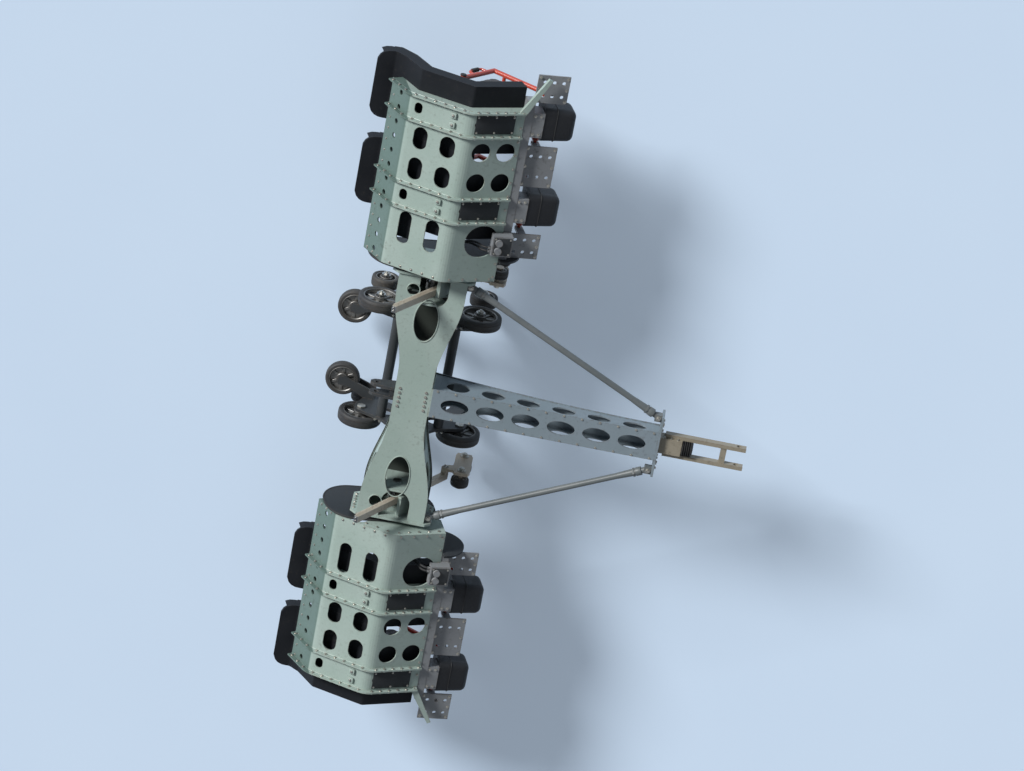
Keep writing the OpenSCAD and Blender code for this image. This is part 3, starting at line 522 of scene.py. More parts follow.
@dataclass(frozen=True)
class Finish:
    """One finish: its colours, its weather, its gloss, its grain and, where zoned, its painted shade."""

    name: str
    coat: Colour
    faded: Colour
    dirt: Colour = (0.045, 0.04, 0.033)
    bare: Colour = (0.16, 0.12, 0.09)
    fading: float = 0.45
    dirtiness: float = 0.35
    wear: float = 0.5
    roughness: float = 0.42
    metallic: float = 0.0
    clearcoat: float = 0.0
    sheen: float = 0.0
    gloss: float = 0.5
    grain: Grain = Grain.MOULDED
    grain_scale: float = 240.0
    grain_depth: float = 0.0004
    relief: float = 0.0012
    scale: float = 1.0
    edge_width: float = 0.012
    # Whether the painted shade zones are multiplied into the colour.
    zoned: bool = False

    def build(self, shop: Shop) -> bpy.types.Material:
        """Makes the material.

        Args:
            shop: Holder of the shared groups.

        Returns:
            The new material.
        """
        material = bpy.data.materials.new(self.name)
        material.use_nodes = True
        tree = material.node_tree
        shader = tree.nodes["Principled BSDF"]
        place = tree.nodes.new("ShaderNodeTexCoord").outputs["Object"]
        weather = tree.nodes.new("ShaderNodeGroup")
        weather.node_tree = shop.weather
        wire(tree, place, weather.inputs["Vector"])
        for name in ("Coat", "Faded", "Dirt", "Bare", "Fading", "Dirtiness", "Wear", "Roughness", "Scale",
                     "Edge Width"):
            wire(tree, getattr(self, name.lower().replace(" ", "_")), weather.inputs[name])
        grain = tree.nodes.new("ShaderNodeGroup")
        grain.node_tree = shop.grains[self.grain]
        wire(tree, place, grain.inputs["Vector"])
        grain.inputs["Scale"].default_value = self.grain_scale
        wire(tree, self.toned(tree, weather.outputs["Color"], shop), shader.inputs["Base Color"])
        wire(tree, weather.outputs["Roughness"], shader.inputs["Roughness"])
        for name, value in (("Metallic", self.metallic), ("Coat Weight", self.clearcoat),
                            ("Sheen Weight", self.sheen), ("Specular IOR Level", self.gloss)):
            shader.inputs[name].default_value = value
        normal = None
        for source, depth in ((weather, self.relief), (grain, self.grain_depth)):
            bump = tree.nodes.new("ShaderNodeBump")
            bump.inputs["Distance"].default_value = depth
            wire(tree, source.outputs["Height"], bump.inputs["Height"])
            wire(tree, normal, bump.inputs["Normal"])
            normal = bump.outputs["Normal"]
        wire(tree, normal, shader.inputs["Normal"])
        return material

    def toned(self, tree: bpy.types.NodeTree, colour: bpy.types.NodeSocket,
              shop: Shop) -> bpy.types.NodeSocket:
        """The colour with the painted shade of the zones multiplied in, where it has any.

        Args:
            tree: The material's node tree.
            colour: The weathered colour.
            shop: Holder of the shared groups.

        Returns:
            The colour with its painted shade.
        """
        if not self.zoned:
            return colour
        place = tree.nodes.new("ShaderNodeTexCoord")
        zones = tree.nodes.new("ShaderNodeGroup")
        zones.node_tree = shop.zone_masks
        wire(tree, place.outputs["Object"], zones.inputs["Vector"])
        wire(tree, place.outputs["Normal"], zones.inputs["Normal"])
        # Multiplies in each tone of painted shade where its mask is.
        for name, tone in shop.zones.tones:
            colour = mixed(tree, zones.outputs[name], colour, tone, "MULTIPLY")
        return colour


# zoned=True multiplies painted shade into this paint: inside the wing, on each shell's front strip and over
# the tongue.
PALE_PAINT = Finish("Pale frame paint", (0.31, 0.39, 0.348), (0.395, 0.465, 0.428),
                    dirt=(0.085, 0.072, 0.052), bare=(0.17, 0.105, 0.06), fading=0.35, dirtiness=0.34,
                    zoned=True)
GREY_PAINT = Finish("Grey rod paint", (0.115, 0.13, 0.132), (0.19, 0.2, 0.2), dirtiness=0.4)
DARK_PAINT = Finish("Dark chassis paint", (0.028, 0.032, 0.035), (0.06, 0.063, 0.065),
                    dirt=(0.06, 0.05, 0.038), roughness=0.5)
AXLE_STEEL = Finish("Machined axle steel", (0.42, 0.42, 0.41), (0.5, 0.49, 0.47), dirt=(0.07, 0.06, 0.045),
                    roughness=0.3, metallic=1.0, grain=Grain.MACHINED, grain_scale=90.0, wear=0.2)
BOLT_STEEL = Finish("Plated bolt steel", (0.5, 0.49, 0.45), (0.6, 0.58, 0.52), dirt=(0.1, 0.07, 0.04),
                    roughness=0.35, metallic=0.9, wear=0.3, scale=3.0, dirtiness=0.5, edge_width=0.003)
TREAD = Finish("Wheel tread", (0.03, 0.03, 0.031), (0.075, 0.07, 0.062), dirt=(0.12, 0.105, 0.08),
               roughness=0.62, wear=0.2, dirtiness=0.5)
RIM = Finish("Cast wheel rim", (0.2, 0.2, 0.195), (0.28, 0.27, 0.25), roughness=0.4, metallic=0.8)
RACK = Finish("Greased rack", (0.42, 0.36, 0.28), (0.54, 0.47, 0.38), dirt=(0.035, 0.026, 0.018),
              bare=(0.6, 0.56, 0.48), dirtiness=0.6, wear=0.9, roughness=0.38, metallic=0.25, scale=2.0)
COUPLER = Finish("Ochre coupling paint", (0.235, 0.205, 0.15), (0.32, 0.29, 0.23), dirt=(0.05, 0.04, 0.028),
                 dirtiness=0.55, wear=0.7)
GUARD = Finish("Near-black panel", (0.02, 0.023, 0.026), (0.042, 0.045, 0.048), dirt=(0.075, 0.068, 0.056),
               roughness=0.45, gloss=0.3, wear=0.25, bare=(0.12, 0.12, 0.12))
SHELL_PLASTIC = Finish("Seat bucket plastic", (0.009, 0.0105, 0.0135), (0.018, 0.02, 0.024),
                       dirt=(0.045, 0.04, 0.034), roughness=0.55, gloss=0.2, wear=0.2,
                       bare=(0.09, 0.09, 0.09))
SEAT_VINYL = Finish("Seat vinyl", (0.018, 0.0185, 0.02), (0.035, 0.036, 0.038), dirt=(0.06, 0.055, 0.045),
                    roughness=0.5, grain=Grain.LEATHER, grain_scale=150.0, grain_depth=0.0012, sheen=0.1,
                    wear=0.0, dirtiness=0.2)
HEAD_PAINT = Finish("Grey arm paint", (0.205, 0.215, 0.225), (0.27, 0.28, 0.285),
                    dirt=(0.04, 0.03, 0.02), dirtiness=0.5, wear=0.7)
HEADREST = Finish("Headrest foam", (0.009, 0.0102, 0.013), (0.018, 0.02, 0.024), dirt=(0.045, 0.041, 0.035),
                  roughness=0.55, grain=Grain.LEATHER, grain_scale=190.0, grain_depth=0.0008, wear=0.0,
                  dirtiness=0.2)
HARNESS_RED = Finish("Red harness paint", (0.44, 0.045, 0.022), (0.52, 0.1, 0.05), dirt=(0.07, 0.03, 0.02),
                     roughness=0.28, clearcoat=0.5, wear=0.6, bare=(0.35, 0.33, 0.3))
VEST_VINYL = Finish("Vest vinyl", (0.05, 0.055, 0.06), (0.085, 0.09, 0.095), dirt=(0.09, 0.08, 0.065),
                    roughness=0.48, grain=Grain.LEATHER, grain_scale=150.0, grain_depth=0.0012, sheen=0.1,
                    wear=0.0, dirtiness=0.2)
RUBBER = Finish("Black rubber", (0.014, 0.014, 0.015), (0.03, 0.03, 0.03), roughness=0.6, wear=0.0)

SLOT_FINISH = {
    "frame_paint": PALE_PAINT, "rod_steel": GREY_PAINT, "dark_paint": DARK_PAINT, "axle_steel": AXLE_STEEL,
    "wheel_tread": TREAD, "rack_steel": RACK, "coupler_steel": COUPLER, "guard_panel": GUARD,
    "seat_shell": SHELL_PLASTIC, "seat_vinyl": SEAT_VINYL, "head_paint": HEAD_PAINT,
    "headrest_black": HEADREST, "harness_red": HARNESS_RED, "harness_vinyl": VEST_VINYL,
}
SLOT_OF = {part["node"]: part["material_slot"] for part in frame["record"]["subparts"]}


def paint(obj: bpy.types.Object, material: bpy.types.Material) -> None:
    """Gives an object one material in every slot."""
    obj.data.materials.clear()
    obj.data.materials.append(material)


def dress_nodes(shop: Shop) -> None:
    """Gives every carried-over node the finish of its slot.

    Args:
        shop: Holder of the materials.
    """
    for name, node in frame["nodes"].items():
        paint(node, shop.material(SLOT_FINISH[SLOT_OF[name]]))
    LOG.info("dressed %d nodes", len(frame["nodes"]))
# ---------------------------------------------------------------------------
# Modelling
# ---------------------------------------------------------------------------

UP = Vector((0.0, 0.0, 1.0))
ALONG_X = Vector((1.0, 0.0, 0.0))
ALONG_Y = Vector((0.0, 1.0, 0.0))
WELD_GAP = 0.00002


def lean(degrees: float) -> Matrix:
    """The turn about the seat axis from an upright piece to where it stands.

    Args:
        degrees: The turn, noses up.

    Returns:
        The turn as a placement.
    """
    hub = Vector((ORIGIN_X, 0.0, HUB_Z))
    turn = Matrix.Rotation(math.radians(degrees), 4, "Y")
    return Matrix.Translation(hub) @ turn @ Matrix.Translation(-hub)


def facing(at: Vector, toward: Vector, turn: float = 0.0) -> Matrix:
    """A placement whose Z axis points a given way.

    Args:
        at: Where its origin stands.
        toward: Where its Z axis points.
        turn: Turn about that axis in degrees.

    Returns:
        The placement.
    """
    aim = toward.to_track_quat("Z", "Y").to_matrix().to_4x4()
    return Matrix.Translation(at) @ aim @ Matrix.Rotation(math.radians(turn), 4, "Z")


def ring(count: int, radius: float = 1.0) -> list[Pair]:
    """Evenly spaced points of a circle.

    Args:
        count: Number of points.
        radius: Radius of the circle.

    Returns:
        Both coordinates of each point, from its middle.
    """
    turns = [math.tau * k / count for k in range(count)]
    return [(radius * math.cos(turn), radius * math.sin(turn)) for turn in turns]


def rounded_box(wide: float, tall: float, corner: float, steps: int) -> list[Pair]:
    """The outline of a rectangle with round corners.

    Args:
        wide: Half its width.
        tall: Half its height.
        corner: Radius of its corners.
        steps: Number of steps of each corner.

    Returns:
        Both coordinates of each point, from its middle.
    """
    path = []
    for quarter, (across, above) in enumerate(((1, 1), (-1, 1), (-1, -1), (1, -1))):
        for k in range(steps + 1):
            turn = math.tau * (quarter + k / steps) / 4
            path.append((across * (wide - corner) + corner * math.cos(turn),
                         above * (tall - corner) + corner * math.sin(turn)))
    return path


@dataclass
class Piece:
    """A piece under construction: a bmesh in the row frame, and what it becomes.

    A piece that rides with a pod or on a rack is modelled upright, and is turned with it when built.
    """

    name: str
    body: str
    slot: str
    finish: Finish
    sharp: float = 35.0

    def __post_init__(self) -> None:
        """Starts with an empty bmesh."""
        self.bm = bmesh.new()

    def rounded(self, edges: Sequence[bmesh.types.BMEdge], width: float, segments: int = 2) -> None:
        """Bevels edges by a width in metres."""
        bmesh.ops.bevel(self.bm, geom=list(edges), offset=width, offset_type="OFFSET", affect="EDGES",
                        segments=segments, profile=0.5, material=-1, clamp_overlap=True)

    def edges_at(self, verts: Iterable[bmesh.types.BMVert]) -> list[bmesh.types.BMEdge]:
        """All edges that meet some corners, in the mesh's own order."""
        self.bm.edges.index_update()
        return sorted({edge for vert in verts for edge in vert.link_edges}, key=lambda edge: edge.index)

    def block(self, place: Matrix, bevel: float = 0.0, segments: int = 2) -> list[bmesh.types.BMVert]:
        """Adds a cube with a side of 1 at a placement that sizes it.

        Args:
            place: The placement.
            bevel: Width of the bevel of its edges.
            segments: Steps of the bevel.

        Returns:
            Its corners, where it has no bevel.
        """
        verts = bmesh.ops.create_cube(self.bm, size=1.0, matrix=place)["verts"]
        if bevel:
            self.rounded(self.edges_at(verts), bevel, segments)
            return []
        return verts

    def drum(self, start: Vector, toward: Vector, radius: float, length: float, sides: int = 32,
             bevel: float = 0.0, tip: float | None = None, turn: float = 0.0) -> None:
        """Adds a closed cylinder or cone.

        Args:
            start: Middle of its first end.
            toward: Direction in which it grows.
            radius: Its radius at the start.
            length: Its length.
            sides: Number of its sides.
            bevel: Width of the bevel of its rims.
            tip: Its radius at the far end, where that differs.
            turn: Turn about its axis in degrees.
        """
        made = bmesh.ops.create_cone(
            self.bm, cap_ends=True, segments=sides, radius1=radius, depth=length,
            radius2=radius if tip is None else tip,
            matrix=facing(start, toward, turn) @ Matrix.Translation((0.0, 0.0, length / 2)))
        if bevel:
            rims = [edge for edge in self.edges_at(made["verts"])
                    if any(len(face.verts) > 4 for face in edge.link_faces)]
            self.rounded(rims, bevel)

    def bolt(self, at: Vector, toward: Vector, radius: float = 0.011, turn: float = 0.0) -> None:
        """Adds a washer and a hexagonal head with a chamfered top, both in proportion.

        Args:
            at: Where the washer lies.
            toward: Where the head points.
            radius: Radius of the head's corners.
            turn: Turn of the head in degrees.
        """
        self.drum(at - toward.normalized() * 0.001, toward, radius * 1.45, radius * 0.25 + 0.001, 14)
        head = bmesh.ops.create_cone(
            self.bm, cap_ends=True, segments=6, radius1=radius, radius2=radius, depth=radius * 0.85,
            matrix=facing(at, toward, turn) @ Matrix.Translation((0.0, 0.0, radius * 0.65)))
        top = max({face for vert in head["verts"] for face in vert.link_faces if len(face.verts) == 6},
                  key=lambda face: face.calc_center_median().dot(toward))
        bmesh.ops.inset_individual(self.bm, faces=[top], thickness=radius * 0.16, depth=radius * 0.1,
                                   use_even_offset=True)

    def bolts(self, places: Iterable[Vector], toward: Vector, radius: float = 0.011) -> None:
        """Adds a row of bolts, each turned a little further than the last."""
        for index, at in enumerate(places):
            self.bolt(at, toward, radius, 17.0 * index)

    def slab(self, low: Vector, high: Vector, bevel: float = 0.0, segments: int = 2) -> None:
        """Adds a box between two corners, with all its edges bevelled."""
        size = Matrix.Diagonal((*(abs(part) for part in high - low), 1.0))
        self.block(Matrix.Translation((high + low) / 2) @ size, bevel, segments)

    def panel(self, fold: "Fold", index: int, span: Pair, y: float, half_w: float,
              out: Pair, bevel: float) -> None:
        """Adds a block that lies on a flat of a fold, all in millimetres but for the bevel.

        Args:
            fold: The fold.
            index: Number of the flat.
            span: Its two ends along the flat.
            y: Signed distance of its middle from the car's.
            half_w: Half its width along the pod.
            out: Its lower and upper face above the sheet.
            bevel: Width of the bevel of its edges.
        """
        low, high = fold.at(index, span[0], out[0], y), fold.at(index, span[1], out[0], y)
        rise = fold.out(index) * ((out[1] - out[0]) / 1000)
        sides = Matrix(((high - low), ALONG_Y * (half_w / 500), rise)).transposed().to_4x4()
        self.block(Matrix.Translation((low + high + rise) / 2) @ sides, bevel)

    def lathe(self, profile: Sequence[Pair], at: Vector, toward: Vector,
              steps: int = 64) -> None:
        """Turns a closed profile about an axis.

        Args:
            profile: Radius and height of each of its corners.
            at: Origin of the heights.
            toward: The axis.
            steps: Number of steps of the turn.
        """
        place = facing(at, toward)
        verts = [self.bm.verts.new(place @ Vector((radius, 0.0, height))) for radius, height in profile]
        edges = [self.bm.edges.new(pair) for pair in zip(verts, verts[1:] + verts[:1])]
        bmesh.ops.spin(self.bm, geom=verts + edges, cent=at, axis=toward.normalized(), dvec=(0.0, 0.0, 0.0),
                       angle=math.tau, steps=steps, use_merge=True, use_duplicate=False)

    def hoop(self, at: Vector, toward: Vector, radius: float, thick: float, steps: int = 48) -> None:
        """Adds a ring of round wire about an axis."""
        self.lathe([(radius + out, up) for out, up in ring(8, thick)], at, toward, steps)

    def sweep(self, path: Sequence[Vector], radius: float | Sequence[float], sides: int = 10,
              closed: bool = False) -> None:
        """Runs a round section along a path.

        Args:
            path: The points that it passes.
            radius: Radius of the section, or one for each point.
            sides: Number of its sides.
            closed: Whether the path returns to its start.
        """
        count = len(path)
        radii = [radius] * count if isinstance(radius, (int, float)) else list(radius)
        steps = [(path[(k + 1) % count] - path[k - 1]) if closed or 0 < k < count - 1
                 else (path[1] - path[0] if k == 0 else path[-1] - path[-2]) for k in range(count)]
        aim = steps[0].to_track_quat("Z", "Y").to_matrix()
        rings: list[list[bmesh.types.BMVert]] = []
        for k, (at, step) in enumerate(zip(path, steps)):
            if k:
                aim = steps[k - 1].rotation_difference(step).to_matrix() @ aim
            made = bmesh.ops.create_circle(self.bm, cap_ends=False, segments=sides, radius=radii[k],
                                           matrix=Matrix.Translation(at) @ aim.to_4x4())
            rings.append(made["verts"])
        spans = list(zip(rings, rings[1:])) + ([(rings[-1], rings[0])] if closed else [])
        for low, high in spans:
            open_edges = [edge for edge in self.edges_at(low + high) if edge.is_boundary or edge.is_wire]
            bmesh.ops.bridge_loops(self.bm, edges=[
                edge for edge in open_edges
                if all(vert in low for vert in edge.verts) or all(vert in high for vert in edge.verts)])
        if not closed:
            for end in (rings[0], rings[-1]):
                bmesh.ops.contextual_create(self.bm, geom=end)

    def build(self, shop: Shop, *nodes: str, levels: int = 0) -> bpy.types.Object:
        """Makes the object.

        Args:
            shop: Holder of the materials.
            nodes: CAD nodes that the piece stands for.
            levels: Levels of subdivision.

        Returns:
            The new object, dressed and riding on its body.
        """
        bmesh.ops.remove_doubles(self.bm, verts=self.bm.verts, dist=WELD_GAP)
        bmesh.ops.recalc_face_normals(self.bm, faces=self.bm.faces)
        turn = LEANS.get(self.body.split("_")[0])
        if turn:
            bmesh.ops.transform(self.bm, matrix=lean(turn), verts=self.bm.verts)
        mesh = bpy.data.meshes.new(self.name)
        self.bm.to_mesh(mesh)
        self.bm.free()
        mesh.shade_smooth()
        mesh.set_sharp_from_angle(angle=math.radians(self.sharp))
        obj = bpy.data.objects.new(self.name, mesh)
        bpy.context.scene.collection.objects.link(obj)
        paint(obj, shop.material(self.finish))
        if levels:
            smoother = obj.modifiers.new("Smooth", "SUBSURF")
            smoother.levels = smoother.render_levels = levels
        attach(obj, self.body)
        if nodes:
            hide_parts(*nodes)
        LOG.info("%s: %d faces on %s", self.name, len(mesh.polygons), self.body)
        return obj


@dataclass(frozen=True)
class Fold:
    """A folded sheet seen from the side: its corners in X and Z about the seat axis, in millimetres."""

    corners: tuple[Pair, ...]

    def flat(self, index: int) -> tuple[Vector, Vector, float]:
        """One flat: its first corner, its direction and its length."""
        low, high = Vector(self.corners[index]), Vector(self.corners[index + 1])
        return low, (high - low).normalized(), (high - low).length

    def at(self, index: int, along: float, out: float, y: float) -> Vector:
        """A place on a flat.

        Args:
            index: Number of the flat.
            along: Distance from its first corner in millimetres.
            out: Distance outwards from the sheet in millimetres.
            y: Signed distance from the car's middle in millimetres.

        Returns:
            The place in the row frame.
        """
        low, step, _ = self.flat(index)
        spot = low + step * along + Vector((-step.y, step.x)) * out
        return pod(spot.x, y, spot.y)

    def out(self, index: int) -> Vector:
        """The outward normal of a flat, in the row frame."""
        _, step, _ = self.flat(index)
        return Vector((-step.y, 0.0, step.x))

    def beside(self, depth: float) -> "Fold":
        """The same fold moved inwards, with mitred corners.

        Args:
            depth: How far, in millimetres.

        Returns:
            The new fold.
        """
        moved = []
        for k, corner in enumerate(self.corners):
            into = [-Vector((-self.flat(i)[1].y, self.flat(i)[1].x)) for i in (k - 1, k)
                    if 0 <= i < len(self.corners) - 1]
            both = sum(into, Vector((0.0, 0.0)))
            moved.append(tuple(Vector(corner) + both * depth * (len(into) / both.dot(both))
                               if len(into) == 2 else Vector(corner) + both * depth))
        return Fold(tuple(moved))

    def smooth(self, radius: float, steps: int = 6) -> list[Vector]:
        """The fold with round corners.

        Args:
            radius: Radius of the corners in millimetres.
            steps: Steps of each corner.

        Returns:
            Its points in X and Z.
        """
        path = [Vector(corner) for corner in self.corners]
        result = [path[0]]
        for before, corner, after in zip(path, path[1:], path[2:]):
            back, ahead = (before - corner).normalized(), (after - corner).normalized()
            reach = radius * math.tan((math.pi - back.angle(ahead)) / 2)
            for k in range(steps + 1):
                t = k / steps
                result.append(corner + back * reach * (1 - t) ** 2 + ahead * reach * t ** 2)
        return result + [path[-1]]


SHELL = Fold(((-600.0, -200.0), (-500.0, 80.0), (-50.0, 400.0), (445.0, 296.9)))
HARNESS = Fold(((620.0, 50.0), (270.0, -335.0), (-40.0, -115.0)))


def spaced(low: float, high: float, pitch: float) -> list[float]:
    """Evenly spaced places from low to high, about a pitch apart."""
    count = max(1, round((high - low) / pitch))
    return [low + (high - low) * k / count for k in range(count + 1)]


def curve(path: Sequence[Vector], steps: int) -> list[Vector]:
    """A smooth curve through points.

    Args:
        path: The points.
        steps: Number of steps from each point to the next.

    Returns:
        The points of the curve.
    """
    result = [path[0]]
    for k, (a, b) in enumerate(zip(path, path[1:])):
        before = path[k - 1] if k else a
        after = path[k + 2] if k + 2 < len(path) else b
        for step in range(1, steps + 1):
            t = step / steps
            result.append(((b - before) * 0.5 * (t - 2 * t * t + t ** 3)) + a * (1 - 3 * t * t + 2 * t ** 3)
                          + b * (3 * t * t - 2 * t ** 3) + ((after - a) * 0.5 * (t ** 3 - t * t)))
    return result


# ---------------------------------------------------------------------------
# What every sub-assembly shares
# ---------------------------------------------------------------------------


@dataclass
class Fitting:
    """A sub-assembly that the scene adds to the car, with the shop that its materials come from."""

    shop: Shop

    @property
    def body(self) -> str:
        """The body that it rides on."""
        return "car_frame"

    def steel(self, name: str) -> Piece:
        """An empty piece for bolts and nuts, on the fitting's body."""
        return Piece(name, self.body, "axle_steel", BOLT_STEEL)


@dataclass
class PodFitting(Fitting):
    """A fitting of one pod, with the sign and the word of its side."""

    side: Side

    @property
    def sign(self) -> int:
        """The sign of its side's Y."""
        return self.side.value

    @property
    def word(self) -> str:
        """Its side as it stands in the nodes' names."""
        return self.side.word

    @property
    def body(self) -> str:
        """The pod that it turns with."""
        return f"pod_{self.word}"


# ---------------------------------------------------------------------------
# Wheels
# ---------------------------------------------------------------------------


class WheelKind(Enum):
    """The kinds of wheel: radius, width, number of spokes, the rim's share of the radius, hub radius."""

    ROAD = (0.19, 0.096, 7, 0.8, 0.054)
    UPSTOP = (0.121, 0.096, 5, 0.76, 0.054)
    SIDE = (0.15, 0.08, 6, 0.8, 0.054)
    FOLLOWER = (0.08, 0.08, 5, 0.78, 0.042)


@dataclass
class RailWheel(Fitting):
    """A wheel with a moulded tread on a cast rim with spokes, a hub and bolts, in metres."""

    joint: dict
    bore_r: float = 0.0262
    spoke_w: float = 0.03
    spoke_depth: float = 0.8
    web_depth: Pair = (0.16, 0.12)
    flange: float = 0.006
    rim_t: float = 0.014
    bolt_r: float = 0.0052
    bolts: int = 6
    steps: int = 72

    def __post_init__(self) -> None:
        """Takes the sizes of its kind, and its place from its joint."""
        kind = WheelKind[self.body.split("_")[0].upper()]
        self.radius, self.width, self.spokes, share, self.hub_r = kind.value
        self.inner_r = self.radius * share
        self.middle, self.axis = Vector(self.joint["pos_m"]), Vector(self.joint["axis"])

    @property
    def body(self) -> str:
        """The body that turns with it, which is also its node."""
        return self.joint["child"]

    def turned(self, piece: Piece, half: Sequence[Pair], steps: int) -> None:
        """Turns a profile that is the same on both sides of the wheel.

        Args:
            piece: The piece to add it to.
            half: Radius and height of the corners on the low side.
            steps: Number of steps of the turn.
        """
        other = [(radius, -height) for radius, height in reversed(half)]
        piece.lathe([*half, *other], self.middle, self.axis, steps)

    def tread(self) -> None:
        """The moulded tread: a crowned band with rounded shoulders and two fine grooves."""
        r, w = self.radius - 0.0005, self.width / 2
        piece = Piece(f"{self.body}_tread", self.body, "wheel_tread", TREAD, sharp=50.0)
        shoulder = [(self.inner_r, -w + 0.002), (r - 0.016, -w + 0.001), (r - 0.008, -w + 0.004),
                    (r - 0.003, -w + 0.011)]
        groove = [(r - 0.0005, -w * 0.45), (r - 0.004, -w * 0.42), (r - 0.004, -w * 0.36), (r, -w * 0.33)]
        self.turned(piece, shoulder + groove, self.steps)
        piece.build(self.shop, self.body)

    def rim(self) -> None:
        """The cast rim: flanges, a thin web, spokes, a hub and bolts."""
        w, hub, lip = self.width / 2, self.hub_r, 0.002
        web, low = self.inner_r - self.rim_t, lip - w
        piece = Piece(f"{self.body}_rim", self.body, "wheel_tread", RIM, sharp=40.0)
        self.turned(piece, [(web, low + self.flange), (web + self.flange, low),
                            (self.inner_r + 0.0005, low + 0.004)], self.steps)
        self.turned(piece, [(self.bore_r, low), (hub - 0.004, low), (hub, low + 0.004)], 48)
        place = facing(self.middle, self.axis)
        size = Matrix.Diagonal((web - hub + 0.008, self.spoke_w, w * self.spoke_depth, 1.0))
        for k in range(self.spokes):
            around = Matrix.Rotation(math.tau * (k + 0.5) / self.spokes, 4, "Z")
            out = Matrix.Translation(((web + hub) / 2, 0.0, 0.0))
            piece.block(place @ around @ out @ size, 0.006, 3)
        thick, thin = self.web_depth
        self.turned(piece, [(hub - lip, -w * thick), (web + lip, -w * thin)], self.steps)
        for end in (-1, 1):
            spots = ring(self.bolts, (hub + self.bore_r) / 2 + 0.004)
            piece.bolts([place @ Vector((*spot, end * (w - 0.003))) for spot in spots], self.axis * end,
                        self.bolt_r)
        piece.build(self.shop)

    def build(self) -> None:
        """Builds the wheel."""
        self.tread()
        self.rim()


@dataclass
class RunningGear(Fitting):
    """The wheels on both rails, the drive followers, and the nuts and bolts of their carriers."""

    cross_at: Pair = (250.0, 640.0)
    cross_ring: float = 60.0
    carrier_faces: Pair = (468.0, 494.0)
    cap_y: float = 616.0
    foot_row: Pair = (130.0, 762.0)
    fork_bolts: Pair = (95.0, 430.0)

    def wheels(self) -> None:
        """All wheels and rollers, one for each joint of a wheel."""
        for joint in JOINTS.values():
            if "wheel" in joint["child"]:
                RailWheel(self.shop, joint).build()

    @staticmethod
    def axles(side: Side) -> list[Pair]:
        """Where the four axles of one carrier stand, in X and Z."""
        turning = (f"road_wheel_{side.word}", f"upstop_wheel_{side.word}")
        return [joint["pos_m"][::2] for joint in JOINTS.values() if joint["child"].startswith(turning)]

    def fasteners(self) -> None:
        """Axle nuts with split pins, bolt circles round the cross tubes and rows on the carriers."""
        piece = self.steel("carrier_bolts")
        inner, outer = self.carrier_faces
        for side in Side:
            sign = side.value
            out = ALONG_Y * sign
            for x, z in self.axles(side):
                cap, root = (Vector((x, sign * y / 1000, z)) for y in (self.cap_y, inner))
                piece.drum(cap, out, 0.026, 0.014, 6, 0.002, turn=11.0)
                piece.drum(cap + out * 0.012, out, 0.0125, 0.012, 16, 0.002)
                piece.drum(cap + out * 0.018 - UP * 0.018, UP, 0.0025, 0.036, 8)
                piece.drum(root, -out, 0.04, 0.016, 6, 0.002)
            for x in (-self.cross_at[0], self.cross_at[0]):
                piece.bolts([car(x + spot[0], sign * outer, self.cross_at[1] + spot[1])
                             for spot in ring(8, self.cross_ring)], out, 0.009)
            half, z = self.foot_row
            piece.bolts([car(x, sign * outer, z) for x in spaced(-half, half, 52)], out, 0.01)
            for x in (-self.fork_bolts[0], self.fork_bolts[0]):
                piece.bolt(car(x, sign * outer, self.fork_bolts[1]), out, 0.012)
        piece.build(self.shop)

    def build(self) -> None:
        """Builds the running gear."""
        self.wheels()
        self.fasteners()


# ---------------------------------------------------------------------------
# Wing and tongue
# ---------------------------------------------------------------------------


